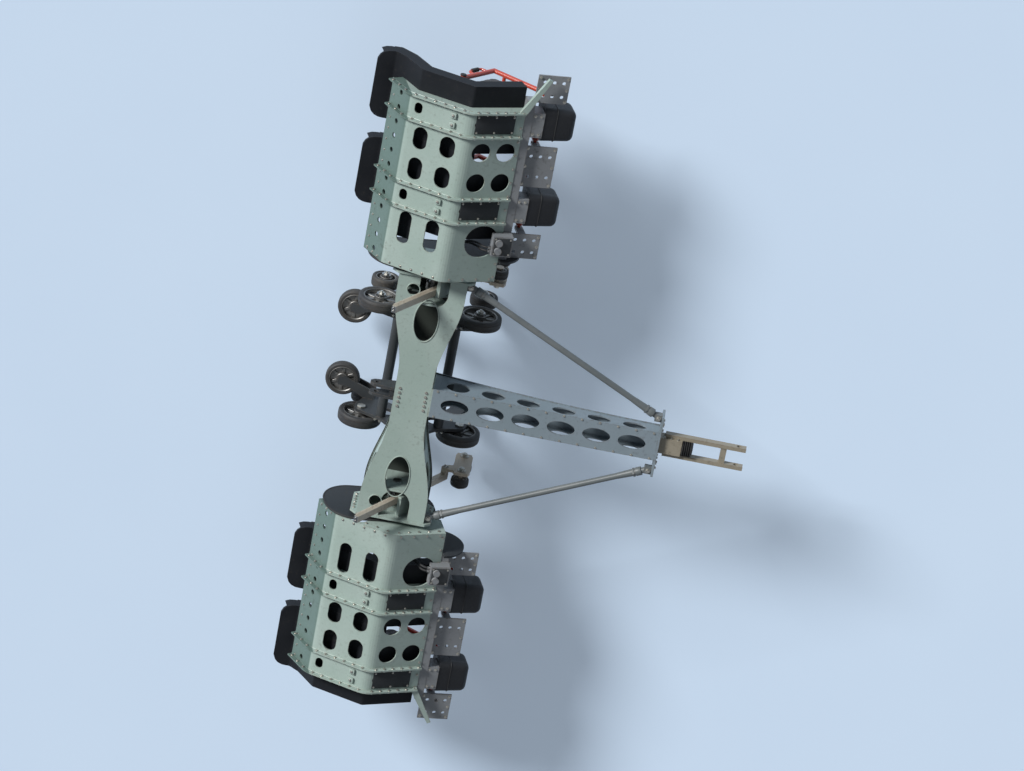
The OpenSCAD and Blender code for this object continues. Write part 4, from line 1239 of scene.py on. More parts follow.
@dataclass
class Wing(Fitting):
    """What is fixed to the wing: hole lips, weld beads, bolts of the end flanges and of the saddle."""

    top: float = 1200.0
    end_y: float = 1130.0
    hub_z: float = 1000.0
    hole: Triple = (735.0, 100.0, 190.0)
    small_hole: Triple = (-150.0, 1000.0, 52.0)
    mid_w: float = 155.0
    end_w: float = 290.0
    flare: Pair = (240.0, 960.0)
    inset: float = 18.0
    bead_levels: Pair = (816.0, 1184.0)
    flange_half: float = 350.0
    flange_row: Pair = (882.0, 1138.0)
    saddle: Pair = (112.0, 84.0)
    boss_r: float = 0.089

    def half_width(self, y: float) -> float:
        """Half width of the wing's plates at a distance from the middle, in millimetres."""
        t = max(0.0, min(1.0, (abs(y) - self.flare[0]) / (self.flare[1] - self.flare[0])))
        return self.mid_w + (self.end_w - self.mid_w) * t * t * (3 - 2 * t)

    def lips(self) -> None:
        """Low round lips pressed up round the holes of the top plate."""
        piece = Piece("wing_hole_lips", self.body, "frame_paint", PALE_PAINT)
        middle, wide, long = self.hole
        x, y, radius = self.small_hole
        for side in Side:
            for at, across, along in (((0.0, middle), wide, long), ((x, y), radius, radius)):
                lip = [car(at[0] + (across + 3) * cosine, side.value * at[1] + (along + 3) * sine,
                           self.top + 0.5) for cosine, sine in ring(56)]
                piece.sweep(lip, 0.0055, 8, closed=True)
        piece.build(self.shop)

    def beads(self) -> None:
        """Weld beads between the webs and the plates, and round the bearing bosses."""
        piece = Piece("wing_weld_beads", self.body, "frame_paint", PALE_PAINT)
        for across in (-1, 1):
            for level in self.bead_levels:
                run = [car(across * (self.half_width(y) - self.inset + 1), y, level)
                       for y in spaced(-self.end_y + 2, self.end_y - 2, 30)]
                radii = [0.0062 + 0.0007 * math.sin(2.1 * k) for k in range(len(run))]
                piece.sweep(run, radii, 8)
        for side in Side:
            out = ALONG_Y * side.value
            piece.hoop(car(0.0, side.value * self.end_y, self.hub_z), out, self.boss_r, 0.006, 64)
        piece.build(self.shop)

    def fasteners(self) -> None:
        """Bolts along the margins of the end flanges and across the wing's middle."""
        piece = self.steel("wing_bolts")
        x, half = self.saddle
        for across in (-1, 1):
            for side in Side:
                for z in spaced(*self.flange_row, 52):
                    at = car(across * (self.flange_half - 26), side.value * self.end_y, z)
                    piece.bolt(at, ALONG_Y * -side.value, 0.0105, 23.0 * z)
            for y in spaced(-half, half, 42):
                piece.bolt(car(across * x, y, self.top), UP, 0.0095, 31.0 * y)
        piece.build(self.shop)

    def build(self) -> None:
        """Builds all the wing's fittings."""
        self.lips()
        self.beads()
        self.fasteners()


@dataclass
class Tongue(Fitting):
    """What is fixed to the tongue: bolt rows, end plate bolts, tie rod nuts and the coupling boot."""

    start: float = 175.0
    end: float = 2100.0
    plate_end: float = 2120.0
    half_w: float = 116.0
    top: float = 1200.0
    coupler_z: float = 1100.0
    plate_rows: tuple[tuple[float, tuple[float, ...]], ...] = (
        (205.0, (1090.0, 1175.0)), (150.0, (1035.0, 1090.0, 1175.0)))
    root_bolts: tuple[float, tuple[float, ...]] = (70.0, (1052.0, 1148.0))
    boot_at: float = 190.0
    boot_r: Triple = (0.045, 0.068, 0.082)
    pleats: int = 5
    pleat: float = 0.0085
    cheek_y: float = 69.0
    cheek_x: tuple[float, ...] = (2160.0, 2215.0, 2270.0)
    tie_wing: Triple = (320.0, 1092.0, 1130.0)
    tie_tongue: Triple = (2070.0, 248.0, 1140.0)
    tie_r: float = 0.026
    lug_half: float = 0.034

    def fasteners(self) -> None:
        """Bolts along the girder's top flanges and round its end plate."""
        piece = self.steel("tongue_bolts")
        for across in (-1, 1):
            for x in spaced(self.start + 30, self.end - 40, 150):
                piece.bolt(car(x, across * (self.half_w + 2), self.top), UP, 0.0075, 13.0 * x)
        for out, levels in self.plate_rows:
            for y in (-out, out):
                for z in levels:
                    piece.bolt(car(self.plate_end, y, z), ALONG_X, 0.011, 19.0 * y + z)
        out, levels = self.root_bolts
        for y in (-out, out):
            for z in levels:
                piece.bolt(car(self.plate_end, y, z), ALONG_X, 0.009)
        piece.build(self.shop)

    def rod_ends(self) -> None:
        """Lock nuts and forged eyes of both tie rods, with the bolts through their brackets."""
        piece = Piece("tie_rod_ends", self.body, "rod_steel", GREY_PAINT)
        steel = self.steel("tie_rod_bolts")
        for side in Side:
            near, far = (car(x, side.value * y, z) for x, y, z in (self.tie_wing, self.tie_tongue))
            step = (far - near).normalized()
            for at, toward in ((near, step), (far, -step)):
                piece.drum(at + toward * 0.055, toward, self.tie_r + 0.012, 0.05, 32, 0.004)
                piece.drum(at + toward * 0.112, toward, self.tie_r + 0.013, 0.02, 6, 0.003)
                piece.drum(at + toward * 0.1055, toward, self.tie_r + 0.007, 0.16, 32,
                           tip=self.tie_r + 0.001)
            for at in (near, far):
                steel.bolt(at + UP * self.lug_half, UP, 0.015, 9.0)
                steel.bolt(at - UP * self.lug_half, -UP, 0.015, 40.0)
        piece.build(self.shop)
        steel.build(self.shop)

    def boot(self) -> None:
        """Pleated rubber boot over the coupling's root and the bolts of its cheeks."""
        piece = Piece("coupling_boot", self.body, "coupler_steel", RUBBER, sharp=60.0)
        root, fold, crest = self.boot_r
        profile = [(root, 0.0)]
        profile += [(crest if k % 2 else fold, 0.004 + self.pleat * k) for k in range(self.pleats * 2 + 1)]
        profile.append((root, profile[-1][1] + self.pleat))
        piece.lathe(profile, car(self.plate_end + self.boot_at, 0.0, self.coupler_z), ALONG_X, 56)
        piece.build(self.shop)
        steel = self.steel("coupling_bolts")
        for across in (-1, 1):
            for x in self.cheek_x:
                for z in (-36.0, 36.0):
                    steel.bolt(car(x, across * self.cheek_y, self.coupler_z + z), ALONG_Y * across, 0.009,
                               x + z)
        steel.build(self.shop)

    def build(self) -> None:
        """Builds all the tongue's fittings."""
        self.fasteners()
        self.rod_ends()
        self.boot()


# ---------------------------------------------------------------------------
# Pods
# ---------------------------------------------------------------------------


@dataclass
class ShellTrim(PodFitting):
    """What is fixed to a pod's folded shell: bolts, band covers, lifting blocks and weld beads."""

    band_half: float = 115.0
    band_gap: float = 101.0
    band_mid: float = 22.0
    start_y: float = 1195.0
    end_y: float = 2735.0
    pitch: float = 84.0
    cover: Pair = (56.0, 408.0)
    cover_half: float = 82.0
    cover_top: float = 7.0
    lifting: Pair = (382.0, 434.0)
    lifting_y: float = 42.0
    lifting_top: float = 22.0
    bead_end: Pair = (428.0, 300.4)
    flats: tuple[Pair, ...] = ((38.0, 244.0), (54.0, 498.0), (56.0, 462.0))

    def band_bolts(self) -> None:
        """Bolts through both flanges of each band, heads outside and nuts between."""
        sign = self.sign
        piece = self.steel(f"band_bolts_{self.word}")
        for seat in Seat:
            for edge in (-1, 1):
                for index, (low, high) in enumerate(self.flats):
                    for along in spaced(low, high, self.pitch):
                        for out, way, turn in ((self.band_half, 1, 0.0), (self.band_gap, -1, 20.0)):
                            at = SHELL.at(index, along, self.band_mid, sign * (seat.value + edge * out))
                            piece.bolt(at, ALONG_Y * (way * sign * edge), 0.0095, along + turn)
        piece.build(self.shop)

    def skin_bolts(self) -> None:
        """Low heads on the skin along the front edge, the shoulders and the inner edge."""
        sign = self.sign
        piece = self.steel(f"shell_bolts_{self.word}")
        for y in spaced(self.start_y + 30, self.end_y - 30, 96):
            piece.bolt(SHELL.at(0, 52.0, 0.0, sign * y), SHELL.out(0), 0.0075, y)
        for y in spaced(self.start_y + 40, self.end_y - 24, 128):
            piece.bolt(SHELL.at(2, 470.0, 0.0, sign * y), SHELL.out(2), 0.0085, y)
        y = sign * (self.start_y + 22)
        for index, (low, high) in enumerate(self.flats):
            for along in spaced(low + 20, high - 20, 105):
                piece.bolt(SHELL.at(index, along, 0.0, y), SHELL.out(index), 0.008, along)
        piece.build(self.shop)

    def covers(self) -> None:
        """Dark covers over the slots between each band's flanges, and the lifting blocks beside them."""
        sign, word = self.sign, self.word
        dark = Piece(f"band_covers_{word}", self.body, "guard_panel", GUARD)
        pale = Piece(f"lifting_blocks_{word}", self.body, "frame_paint", PALE_PAINT)
        steel = self.steel(f"cover_bolts_{word}")
        low, high = self.cover
        top, rise = self.cover_top, self.lifting_top
        for seat in Seat:
            y = sign * seat.value
            dark.panel(SHELL, 2, self.cover, y, self.cover_half, (-1.0, top), 0.0025)
            for across in (-1, 1):
                for along in (low + 16, (low + high) / 2, high - 16):
                    at = SHELL.at(2, along, top, y + across * (self.cover_half - 14))
                    steel.bolt(at, SHELL.out(2), 0.0065, along)
                beside = y + across * self.lifting_y
                pale.panel(SHELL, 1, self.lifting, beside, 24.0, (-1.0, rise), 0.005)
                at = SHELL.at(1, sum(self.lifting) / 2, rise, beside)
                steel.bolt(at, SHELL.out(1), 0.009, 31.0 * across)
        dark.build(self.shop)
        pale.build(self.shop)
        steel.build(self.shop)

    def beads(self) -> None:
        """Weld beads at the feet of the bands' flanges."""
        sign = self.sign
        piece = Piece(f"shell_beads_{self.word}", self.body, "frame_paint", PALE_PAINT)
        line = [spot for spot in SHELL.smooth(130.0) if spot.x < self.bead_end[0]]
        line.append(Vector(self.bead_end))
        for seat in Seat:
            for edge in (-self.band_half - 1, -self.band_gap + 1, self.band_gap - 1, self.band_half + 1):
                y = sign * (seat.value + edge)
                piece.sweep([pod(spot.x, y, spot.y) for spot in line], 0.0048, 6)
        piece.build(self.shop)

    def build(self) -> None:
        """Builds the trim of one shell."""
        self.band_bolts()
        self.skin_bolts()
        self.covers()
        self.beads()


@dataclass
class GuardTrim(PodFitting):
    """Rubber edging round a guard panel and the bolts that hold it to the hub drum."""

    y: float = 1187.5
    middle: Pair = (-80.0, -150.0)
    length: float = 960.0
    height: float = 600.0
    corner: float = 270.0
    drum_y: float = 1195.0
    drum_ring: float = 96.0
    flats: tuple[Pair, ...] = ((60.0, 240.0), (70.0, 480.0), (70.0, 440.0))

    def build(self) -> None:
        """Builds the edging and the bolts."""
        sign = self.sign
        edging = Piece(f"guard_edging_{self.word}", self.body, "guard_panel", RUBBER)
        x, z = self.middle
        outline = rounded_box(self.length / 2, self.height / 2, self.corner, 10)
        spots = [pod(x + along, sign * self.y, z + up) for along, up in outline]
        edging.sweep(spots, 0.0105, 10, closed=True)
        edging.build(self.shop)
        steel = self.steel(f"hub_bolts_{self.word}")
        for k, (along, up) in enumerate(ring(12, self.drum_ring)):
            steel.bolt(pod(along, sign * self.drum_y, up), ALONG_Y * sign, 0.011, 12.0 * k)
        for index, (low, high) in enumerate(self.flats):
            for along in spaced(low, high, 96):
                steel.bolt(SHELL.at(index, along, -40.0, sign * self.drum_y), ALONG_Y * -sign, 0.009, along)
        steel.build(self.shop)


@dataclass
class HeadTrim(PodFitting):
    """What is fixed to a pod's shoulder beam: bolts, hinge pins, lock covers and hoses."""

    outer_end: float = 3050.0
    arm_x: Pair = (520.0, 570.0)
    arm_y: float = 82.0
    arm_top: float = 292.0
    plate_x: Pair = (520.0, 752.0)
    plate_top: float = 242.0
    hinge: Pair = (620.0, 50.0)
    lug_out: float = 265.0
    lock: tuple[float, float, float, float, float] = (1470.0, 1650.0, 402.8, 340.0, 490.0)
    hose_gap: float = 30.0
    hose_r: float = 0.0095
    hose: tuple[tuple[float, float, float, float], ...] = (
        (330.0, 1530.0, 368.0, 0.0), (292.0, 1530.0, 364.0, 0.0), (256.0, 1528.0, 330.0, 0.0),
        (236.0, 1520.0, 262.0, 0.2), (180.0, 1500.0, 190.0, 0.5), (118.0, 1450.0, 138.0, 0.8),
        (98.0, 1388.0, 108.0, 1.0), (104.0, 1300.0, 76.0, 1.0), (112.0, 1212.0, 62.0, 1.0))

    def fasteners(self) -> None:
        """Bolts on the shoulder plates and the beam, and the harness's hinge pins."""
        sign = self.sign
        piece = self.steel(f"head_bolts_{self.word}")
        inner, outer = Seat.INNER.value, Seat.OUTER.value
        plates = ((inner - 445, inner - 225), (inner + 205, outer - 205), (outer + 185, self.outer_end))
        for low, high in plates:
            for y in (low + 22, (low + high) / 2, high - 22):
                for x in self.plate_x:
                    piece.bolt(pod(x, sign * y, self.plate_top), UP, 0.0095, x + y)
        for seat in Seat:
            y = sign * seat.value
            for across in (-1, 1):
                out = ALONG_Y * across
                at = pod(self.hinge[0], y + across * self.lug_out, self.hinge[1])
                piece.drum(at, out, 0.024, 0.004, 24, 0.001)
                piece.drum(at + out * 0.004, out, 0.019, 0.011, 6, 0.002, turn=seat.value)
                for x in self.arm_x:
                    piece.bolt(pod(x, y + across * self.arm_y, self.arm_top), UP, 0.009, x)
        piece.build(self.shop)

    def lock_cover(self) -> None:
        """Cover plate of the harness locks with its screws."""
        sign = self.sign
        low, high, top, near, far = self.lock
        cover = Piece(f"lock_cover_{self.word}", self.body, "dark_paint", DARK_PAINT)
        ends = sorted((sign * (low + 12), sign * (high - 12)))
        cover.slab(pod(near, ends[0], top - 1), pod(far, ends[1], top + 5), 0.002)
        cover.build(self.shop)
        screws = self.steel(f"lock_screws_{self.word}")
        for x in (near + 12, far - 12):
            for y in (low + 24, high - 24):
                screws.bolt(pod(x, sign * y, top + 5), UP, 0.006, x)
        screws.build(self.shop)

    def hoses(self) -> None:
        """The two hoses that run from the locks through the shell's inner bay to the pod's end plate."""
        sign = self.sign
        rubber = Piece(f"lock_hoses_{self.word}", self.body, "harness_vinyl", RUBBER, sharp=60.0)
        ends = Piece(f"hose_ends_{self.word}", self.body, "axle_steel", AXLE_STEEL)
        for shift in (0.0, -self.hose_gap):
            path = [Vector((x + shift * turn, y + shift * (1 - turn), z)) for x, y, z, turn in self.hose]
            spots = [pod(spot.x, sign * spot.y, spot.z) for spot in curve(path, 6)]
            rubber.sweep(spots, self.hose_r, 12)
            for end, after in ((spots[0], spots[1]), (spots[-1], spots[-2])):
                ends.drum(end, after - end, 0.0135, 0.026, 20, 0.002)
                ends.drum(end, after - end, 0.017, 0.012, 6, 0.0015)
        rubber.build(self.shop)
        ends.build(self.shop)

    def build(self) -> None:
        """Builds the fittings of one shoulder beam."""
        self.fasteners()
        self.lock_cover()
        self.hoses()


@dataclass
class Headrests(PodFitting):
    """The two moulded foam headrests of a pod, each with a parting line and a narrower far face."""

    near_x: float = 600.0
    length: float = 276.0
    half_w: float = 150.0
    low: float = 20.0
    high: float = 285.0
    taper: Pair = (0.9, 0.93)
    face_round: float = 0.052
    back_round: float = 0.012
    seam_share: Pair = (0.965, 0.975)
    seam_corner: float = 0.046
    seam_back: float = 0.03

    def build(self) -> None:
        """Builds both headrests as one piece."""
        sign, word = self.sign, self.word
        piece = Piece(f"moulded_headrests_{word}", self.body, "headrest_black", HEADREST, sharp=70.0)
        seam = Piece(f"headrest_seams_{word}", self.body, "headrest_black", RUBBER, sharp=70.0)
        for seat in Seat:
            y = sign * seat.value
            low = pod(self.near_x, y - self.half_w, self.low)
            high = pod(self.near_x + self.length, y + self.half_w, self.high)
            size, middle = high - low, (high + low) / 2
            verts = piece.block(Matrix.Translation(middle) @ Matrix.Diagonal((*size, 1.0)))
            for vert in verts:
                if vert.co.x > middle.x:
                    vert.co.y = middle.y + (vert.co.y - middle.y) * self.taper[0]
                    vert.co.z = middle.z + (vert.co.z - middle.z) * self.taper[1]
            edges = piece.edges_at(verts)
            ends = [edge for edge in edges if any(vert.co.x > middle.x for vert in edge.verts)]
            rest = [edge for edge in edges if edge not in ends]
            piece.rounded(ends, self.face_round, 6)
            piece.rounded([edge for edge in rest if edge.is_valid], self.back_round, 3)
            wide, tall = (part / 2 * share for part, share in zip(size.yz, self.seam_share))
            outline = rounded_box(wide, tall, self.seam_corner, 8)
            line = [middle + Vector((-self.seam_back, across, up)) for across, up in outline]
            seam.sweep(line, 0.0042, 8, closed=True)
        piece.build(self.shop, f"headrests_{word}")
        seam.build(self.shop)


# ---------------------------------------------------------------------------
# Soft goods
# ---------------------------------------------------------------------------


def runs(path: Sequence[Vector], turn: int, splits: int) -> list[Vector]:
    """A rounded path with its straight parts cut into shorter steps.

    Args:
        path: Points made by Fold.smooth.
        turn: Steps of each rounded corner.
        splits: Steps of each straight part.

    Returns:
        The points with the new ones between them.
    """
    result = [path[0]]
    for number, (a, b) in enumerate(zip(path, path[1:])):
        count = 1 if number % (turn + 1) else splits
        result += [a.lerp(b, k / count) for k in range(1, count + 1)]
    return result


@dataclass
class SoftPad:
    """A stuffed pad that follows a fold: its cut, its stuffing and its sewn channels, in millimetres."""

    fold: Fold
    near: float
    far: float
    half_w: float
    bend: float
    voxel: float = 0.010
    cap: float = 0.011
    pressure: float = 4.0
    shrink: float = 7.0
    channels: tuple[float, ...] = (0.0,)
    cross_pitch: float = 150.0
    groove: float = 0.0075
    groove_w: float = 0.011
    frames: int = 20
    least_bend: float = 14.0
    turn_steps: int = 6
    flat_steps: int = 12
    across_steps: int = 10
    rim_w: float = 30.0
    welt_in: float = 3.0
    end_steps: int = 8

    def edge(self, depth: float) -> list[Vector]:
        """The fold at a depth, as points in X and Z with the same count at every depth."""
        line = self.fold.beside(depth).smooth(max(self.bend - depth, self.least_bend), self.turn_steps)
        return runs(line, self.turn_steps, self.flat_steps)

    def cut(self) -> bpy.types.Object:
        """Cuts the pad from foam.

        Returns:
            A bent slab with square edges, at the car's middle.
        """
        near, far = self.edge(self.near + self.shrink), self.edge(self.far - self.shrink)
        count = len(near) - 1
        wide = self.half_w - self.shrink
        bm = bmesh.new()
        bmesh.ops.create_grid(bm, x_segments=count, y_segments=self.across_steps, size=1.0)
        grown = bmesh.ops.extrude_face_region(bm, geom=list(bm.faces))
        lifted = {item for item in grown["geom"] if isinstance(item, bmesh.types.BMVert)}
        for vert in bm.verts:
            line = far if vert in lifted else near
            spot = line[round((vert.co.x + 1.0) / 2 * count)]
            vert.co = pod(spot.x, vert.co.y * wide, spot.y)
        bmesh.ops.recalc_face_normals(bm, faces=bm.faces)
        mesh = bpy.data.meshes.new("pad_cut")
        bm.to_mesh(mesh)
        bm.free()
        obj = bpy.data.objects.new("pad_cut", mesh)
        bpy.context.scene.collection.objects.link(obj)
        return obj

    def settle(self, obj: bpy.types.Object) -> None:
        """Stuffs the cut pad: an even mesh, then a short cloth simulation under pressure.

        Args:
            obj: The cut pad, whose mesh is changed.
        """
        even = obj.modifiers.new("Even", "REMESH")
        even.mode = "VOXEL"
        even.voxel_size = self.voxel
        self.bake(obj)
        start = [vert.co.copy() for vert in obj.data.vertices]
        cloth = obj.modifiers.new("Cloth", "CLOTH")
        cloth.settings.quality = 4
        cloth.settings.use_pressure = True
        cloth.settings.uniform_pressure_force = self.pressure
        cloth.settings.effector_weights.gravity = 0.0
        cloth.point_cache.frame_start = 1
        cloth.point_cache.frame_end = self.frames
        for number in range(1, self.frames + 1):
            bpy.context.scene.frame_set(number)
        self.bake(obj)
        bpy.context.scene.frame_set(1)
        for vert, before in zip(obj.data.vertices, start):
            step = vert.co - before
            if step.length > self.cap:
                vert.co = before + step * (self.cap / step.length)

    @staticmethod
    def bake(obj: bpy.types.Object) -> None:
        """Makes the modifiers part of the mesh.

        Args:
            obj: The object to change.
        """
        shown = obj.evaluated_get(bpy.context.evaluated_depsgraph_get())
        mesh = bpy.data.meshes.new_from_object(shown)
        obj.modifiers.clear()
        obj.data = mesh

    def sew(self, mesh: bpy.types.Mesh) -> None:
        """Draws the rider's side in along the sewn channels.

        Args:
            mesh: The stuffed pad.
        """
        face = self.edge(self.far - self.shrink)
        back = self.edge(self.near + self.shrink)
        steps = [0.0]
        for a, b in zip(face, face[1:]):
            steps.append(steps[-1] + (b - a).length)
        crossings = spaced(0.0, steps[-1], self.cross_pitch)[1:-1]
        for vert in mesh.vertices:
            spot = Vector(((vert.co.x - ORIGIN_X) * 1000, (vert.co.z - HUB_Z) * 1000))
            near = min(range(len(face)), key=lambda k: (face[k] - spot).length_squared)
            if (face[near] - spot).length > (back[near] - spot).length:
                continue
            ahead = min(near + 1, len(face) - 1)
            step = (face[ahead] - face[ahead - 1]).normalized()
            along = steps[near] + (spot - face[near]).dot(step)
            across = vert.co.y * 1000
            gaps = [abs(across - channel) for channel in self.channels]
            gaps += [abs(along - crossing) for crossing in crossings]
            pull = max(math.exp(-(gap / 1000 / self.groove_w) ** 2) for gap in gaps)
            rim = max(0.0, min(1.0, (self.half_w - abs(across)) / self.rim_w))
            into = back[near] - face[near]
            inward = Vector((into.x, 0.0, into.y)).normalized()
            vert.co += inward * (self.groove * pull * rim)

    def piping(self, mesh: bpy.types.Mesh) -> list[Vector]:
        """Lays the rim of the rider's side onto the stuffed pad.

        Args:
            mesh: The stuffed pad.

        Returns:
            The path of the welt.
        """
        tree = BVHTree.FromPolygons([vert.co for vert in mesh.vertices],
                                    [poly.vertices for poly in mesh.polygons])
        face = self.edge(self.far - self.shrink - self.welt_in)
        wide = self.half_w - self.shrink - self.welt_in
        shares = [1 - 2 * k / self.end_steps for k in range(1, self.end_steps)]
        rim = [(spot, wide) for spot in face]
        rim += [(face[-1], wide * share) for share in shares]
        rim += [(spot, -wide) for spot in reversed(face)]
        rim += [(face[0], -wide * share) for share in shares]
        return [tree.find_nearest(pod(spot.x, y, spot.y))[0] for spot, y in rim]

    def make(self) -> tuple[bpy.types.Mesh, list[Vector]]:
        """Makes the pad once, at the car's middle.

        Returns:
            Its mesh and the path of its welt.
        """
        obj = self.cut()
        self.settle(obj)
        self.sew(obj.data)
        mesh, path = obj.data, self.piping(obj.data)
        bpy.data.objects.remove(obj)
        return mesh, path


@dataclass
class SoftGoods(Fitting):
    """All the stuffed pads, one for each seat and one for each harness, in millimetres."""

    shell_depth: float = 92.0
    seat_near: float = 22.3
    seat_far: float = 88.0
    seat_half: float = 210.0
    vest_near: float = 24.5
    vest_far: float = 121.0
    vest_half: float = 177.0
    seat_bend: float = 38.0
    vest_bend: float = 160.0
    vest_start: float = 0.34
    welt_r: float = 0.0052

    def pads(self) -> dict[str, SoftPad]:
        """Sizes the two kinds of pad.

        Returns:
            The seat's pad and the vest's.
        """
        hinge, apex, lap = HARNESS.corners
        top = tuple(h + self.vest_start * (a - h) for h, a in zip(hinge, apex))
        line = SHELL.beside(self.shell_depth)
        return {
            "seat": SoftPad(line, self.seat_near, self.seat_far, self.seat_half, self.seat_bend,
                            voxel=0.012, channels=(-112.0, 112.0), cross_pitch=118.0),
            "vest": SoftPad(Fold((top, apex, lap)), self.vest_near, self.vest_far, self.vest_half,
                            self.vest_bend, channels=(-62.0, 62.0), cross_pitch=125.0, cap=0.012),
        }

    def lay(self, name: str, body: str, slot: str, finish: Finish, node: str | None,
            made: tuple[bpy.types.Mesh, list[Vector]], y: float) -> None:
        """Lays one copy of a pad and its welt.

        Args:
            name: Name of the pad.
            body: Body that it rides on.
            slot: Material slot that it takes its finish from.
            finish: Its finish.
            node: CAD node that it stands for, if it is the first of that node.
            made: The pad's mesh and its welt's path, at the car's middle.
            y: Signed distance of its middle from the car's, in metres.
        """
        mesh, path = made
        shift = Vector((0.0, y, 0.0))
        piece = Piece(name, body, slot, finish, sharp=80.0)
        piece.bm.from_mesh(mesh)
        bmesh.ops.translate(piece.bm, verts=piece.bm.verts, vec=shift)
        piece.build(self.shop, *([node] if node else []), levels=1)
        welt = Piece(f"{name}_welt", body, slot, finish, sharp=80.0)
        welt.sweep([spot + shift for spot in path], self.welt_r, 8, closed=True)
        welt.build(self.shop)

    def build(self) -> None:
        """Builds all the pads."""
        made = {kind: pad.make() for kind, pad in self.pads().items()}
        for side in Side:
            for seat in Seat:
                y = side.value * seat.value / 1000
                first = seat is Seat.INNER
                self.lay(f"seat_pad_{side.word}_{seat.word}", f"pod_{side.word}", "seat_vinyl",
                         SEAT_VINYL, f"seat_pads_{side.word}" if first else None, made["seat"], y)
                self.lay(f"vest_pad_{side.word}_{seat.word}", f"harness_{side.word}_{seat.word}",
                         "harness_vinyl", VEST_VINYL, f"harness_pads_{side.word}_{seat.word}",
                         made["vest"], y)


@dataclass
class HarnessTrim(PodFitting):
    """What is fixed to a harness: grab loops with ribbed rubber grips, and the lap bar's end caps."""

    seat: Seat
    half: float = 200.0
    loop: Triple = (70.0, 235.0, 78.0)
    loop_r: float = 0.0115
    loop_bend: float = 26.0
    grip_r: float = 0.0175
    grip_in: float = 42.0
    ribs: int = 7
    cap_y: float = 223.0

    @property
    def word(self) -> str:
        """Its side and seat as they stand in the nodes' names."""
        return f"{self.side.word}_{self.seat.word}"

    @property
    def body(self) -> str:
        """The harness that it swings with."""
        return f"harness_{self.word}"

    def build(self) -> None:
        """Builds the trim of one harness."""
        middle = self.sign * self.seat.value
        bars = Piece(f"grab_loops_{self.word}", self.body, "harness_red", HARNESS_RED, sharp=60.0)
        grips = Piece(f"grab_grips_{self.word}", self.body, "harness_vinyl", RUBBER, sharp=50.0)
        caps = Piece(f"harness_caps_{self.word}", self.body, "harness_vinyl", RUBBER)
        low, high, out = self.loop
        corners = ((low, 10.0), (low + 14, out), (high - 14, out), (high, 10.0))
        line = Fold(corners).smooth(self.loop_bend, 5)
        lap_x, lap_z = HARNESS.corners[-1]
        for across in (-1, 1):
            y = middle + across * self.half
            bars.sweep([HARNESS.at(1, spot.x, spot.y, y) for spot in line], self.loop_r, 12)
            start = HARNESS.at(1, low + self.grip_in, out, y)
            end = HARNESS.at(1, high - self.grip_in, out, y)
            span = end - start
            grips.drum(start, span, self.grip_r, span.length, 24, 0.004)
            for k in range(self.ribs):
                at = start + span * (k + 1) / (self.ribs + 1)
                grips.hoop(at, span, self.grip_r - 0.0007, 0.0022, 24)
            at = pod(lap_x, middle + across * self.cap_y, lap_z)
            caps.drum(at, ALONG_Y * across, 0.0262, 0.012, 28, 0.003)
        bars.build(self.shop)
        grips.build(self.shop)
        caps.build(self.shop)


@dataclass
class SeatTrim(PodFitting):
    """Rubber edging of a pod's seat buckets, and the trim panels between and beside the buckets.

    Each panel has the number of its flat, its two ends along it, and whether it is the inner one.
    """

    between: Pair = (2146.0, 2319.0)
    inner: Pair = (1428.0, 1544.0)
    panels: tuple[tuple[int, float, float, bool], ...] = (
        (1, 16.0, 508.0, False), (2, 44.0, 146.0, False), (1, 40.0, 262.0, True))
    panel_depth: Pair = (-113.0, -94.0)
    half: float = 289.0
    bucket_depth: float = 92.0
    depth: float = 110.0
    nose: tuple[Pair, ...] = ((-594.0, -321.4), (-575.0, -318.0))

    def build(self) -> None:
        """Builds the edging of both buckets."""
        sign, word = self.sign, self.word
        piece = Piece(f"seat_edging_{word}", self.body, "seat_shell", RUBBER, sharp=60.0)
        bucket = Fold(self.nose + SHELL.beside(self.bucket_depth).corners)
        line = bucket.beside(self.depth).smooth(14.0, 3)
        for seat in Seat:
            for across in (-1, 1):
                y = sign * seat.value + across * self.half
                piece.sweep([pod(spot.x, y, spot.y) for spot in line], 0.0125, 10)
        piece.build(self.shop)
        plain = Piece(f"seat_trim_{word}", self.body, "seat_shell", SHELL_PLASTIC)
        for index, low, high, inside in self.panels:
            start, end = self.inner if inside else self.between
            plain.panel(SHELL, index, (low, high), sign * (start + end) / 2, (end - start) / 2,
                        self.panel_depth, 0.004)
        plain.build(self.shop)


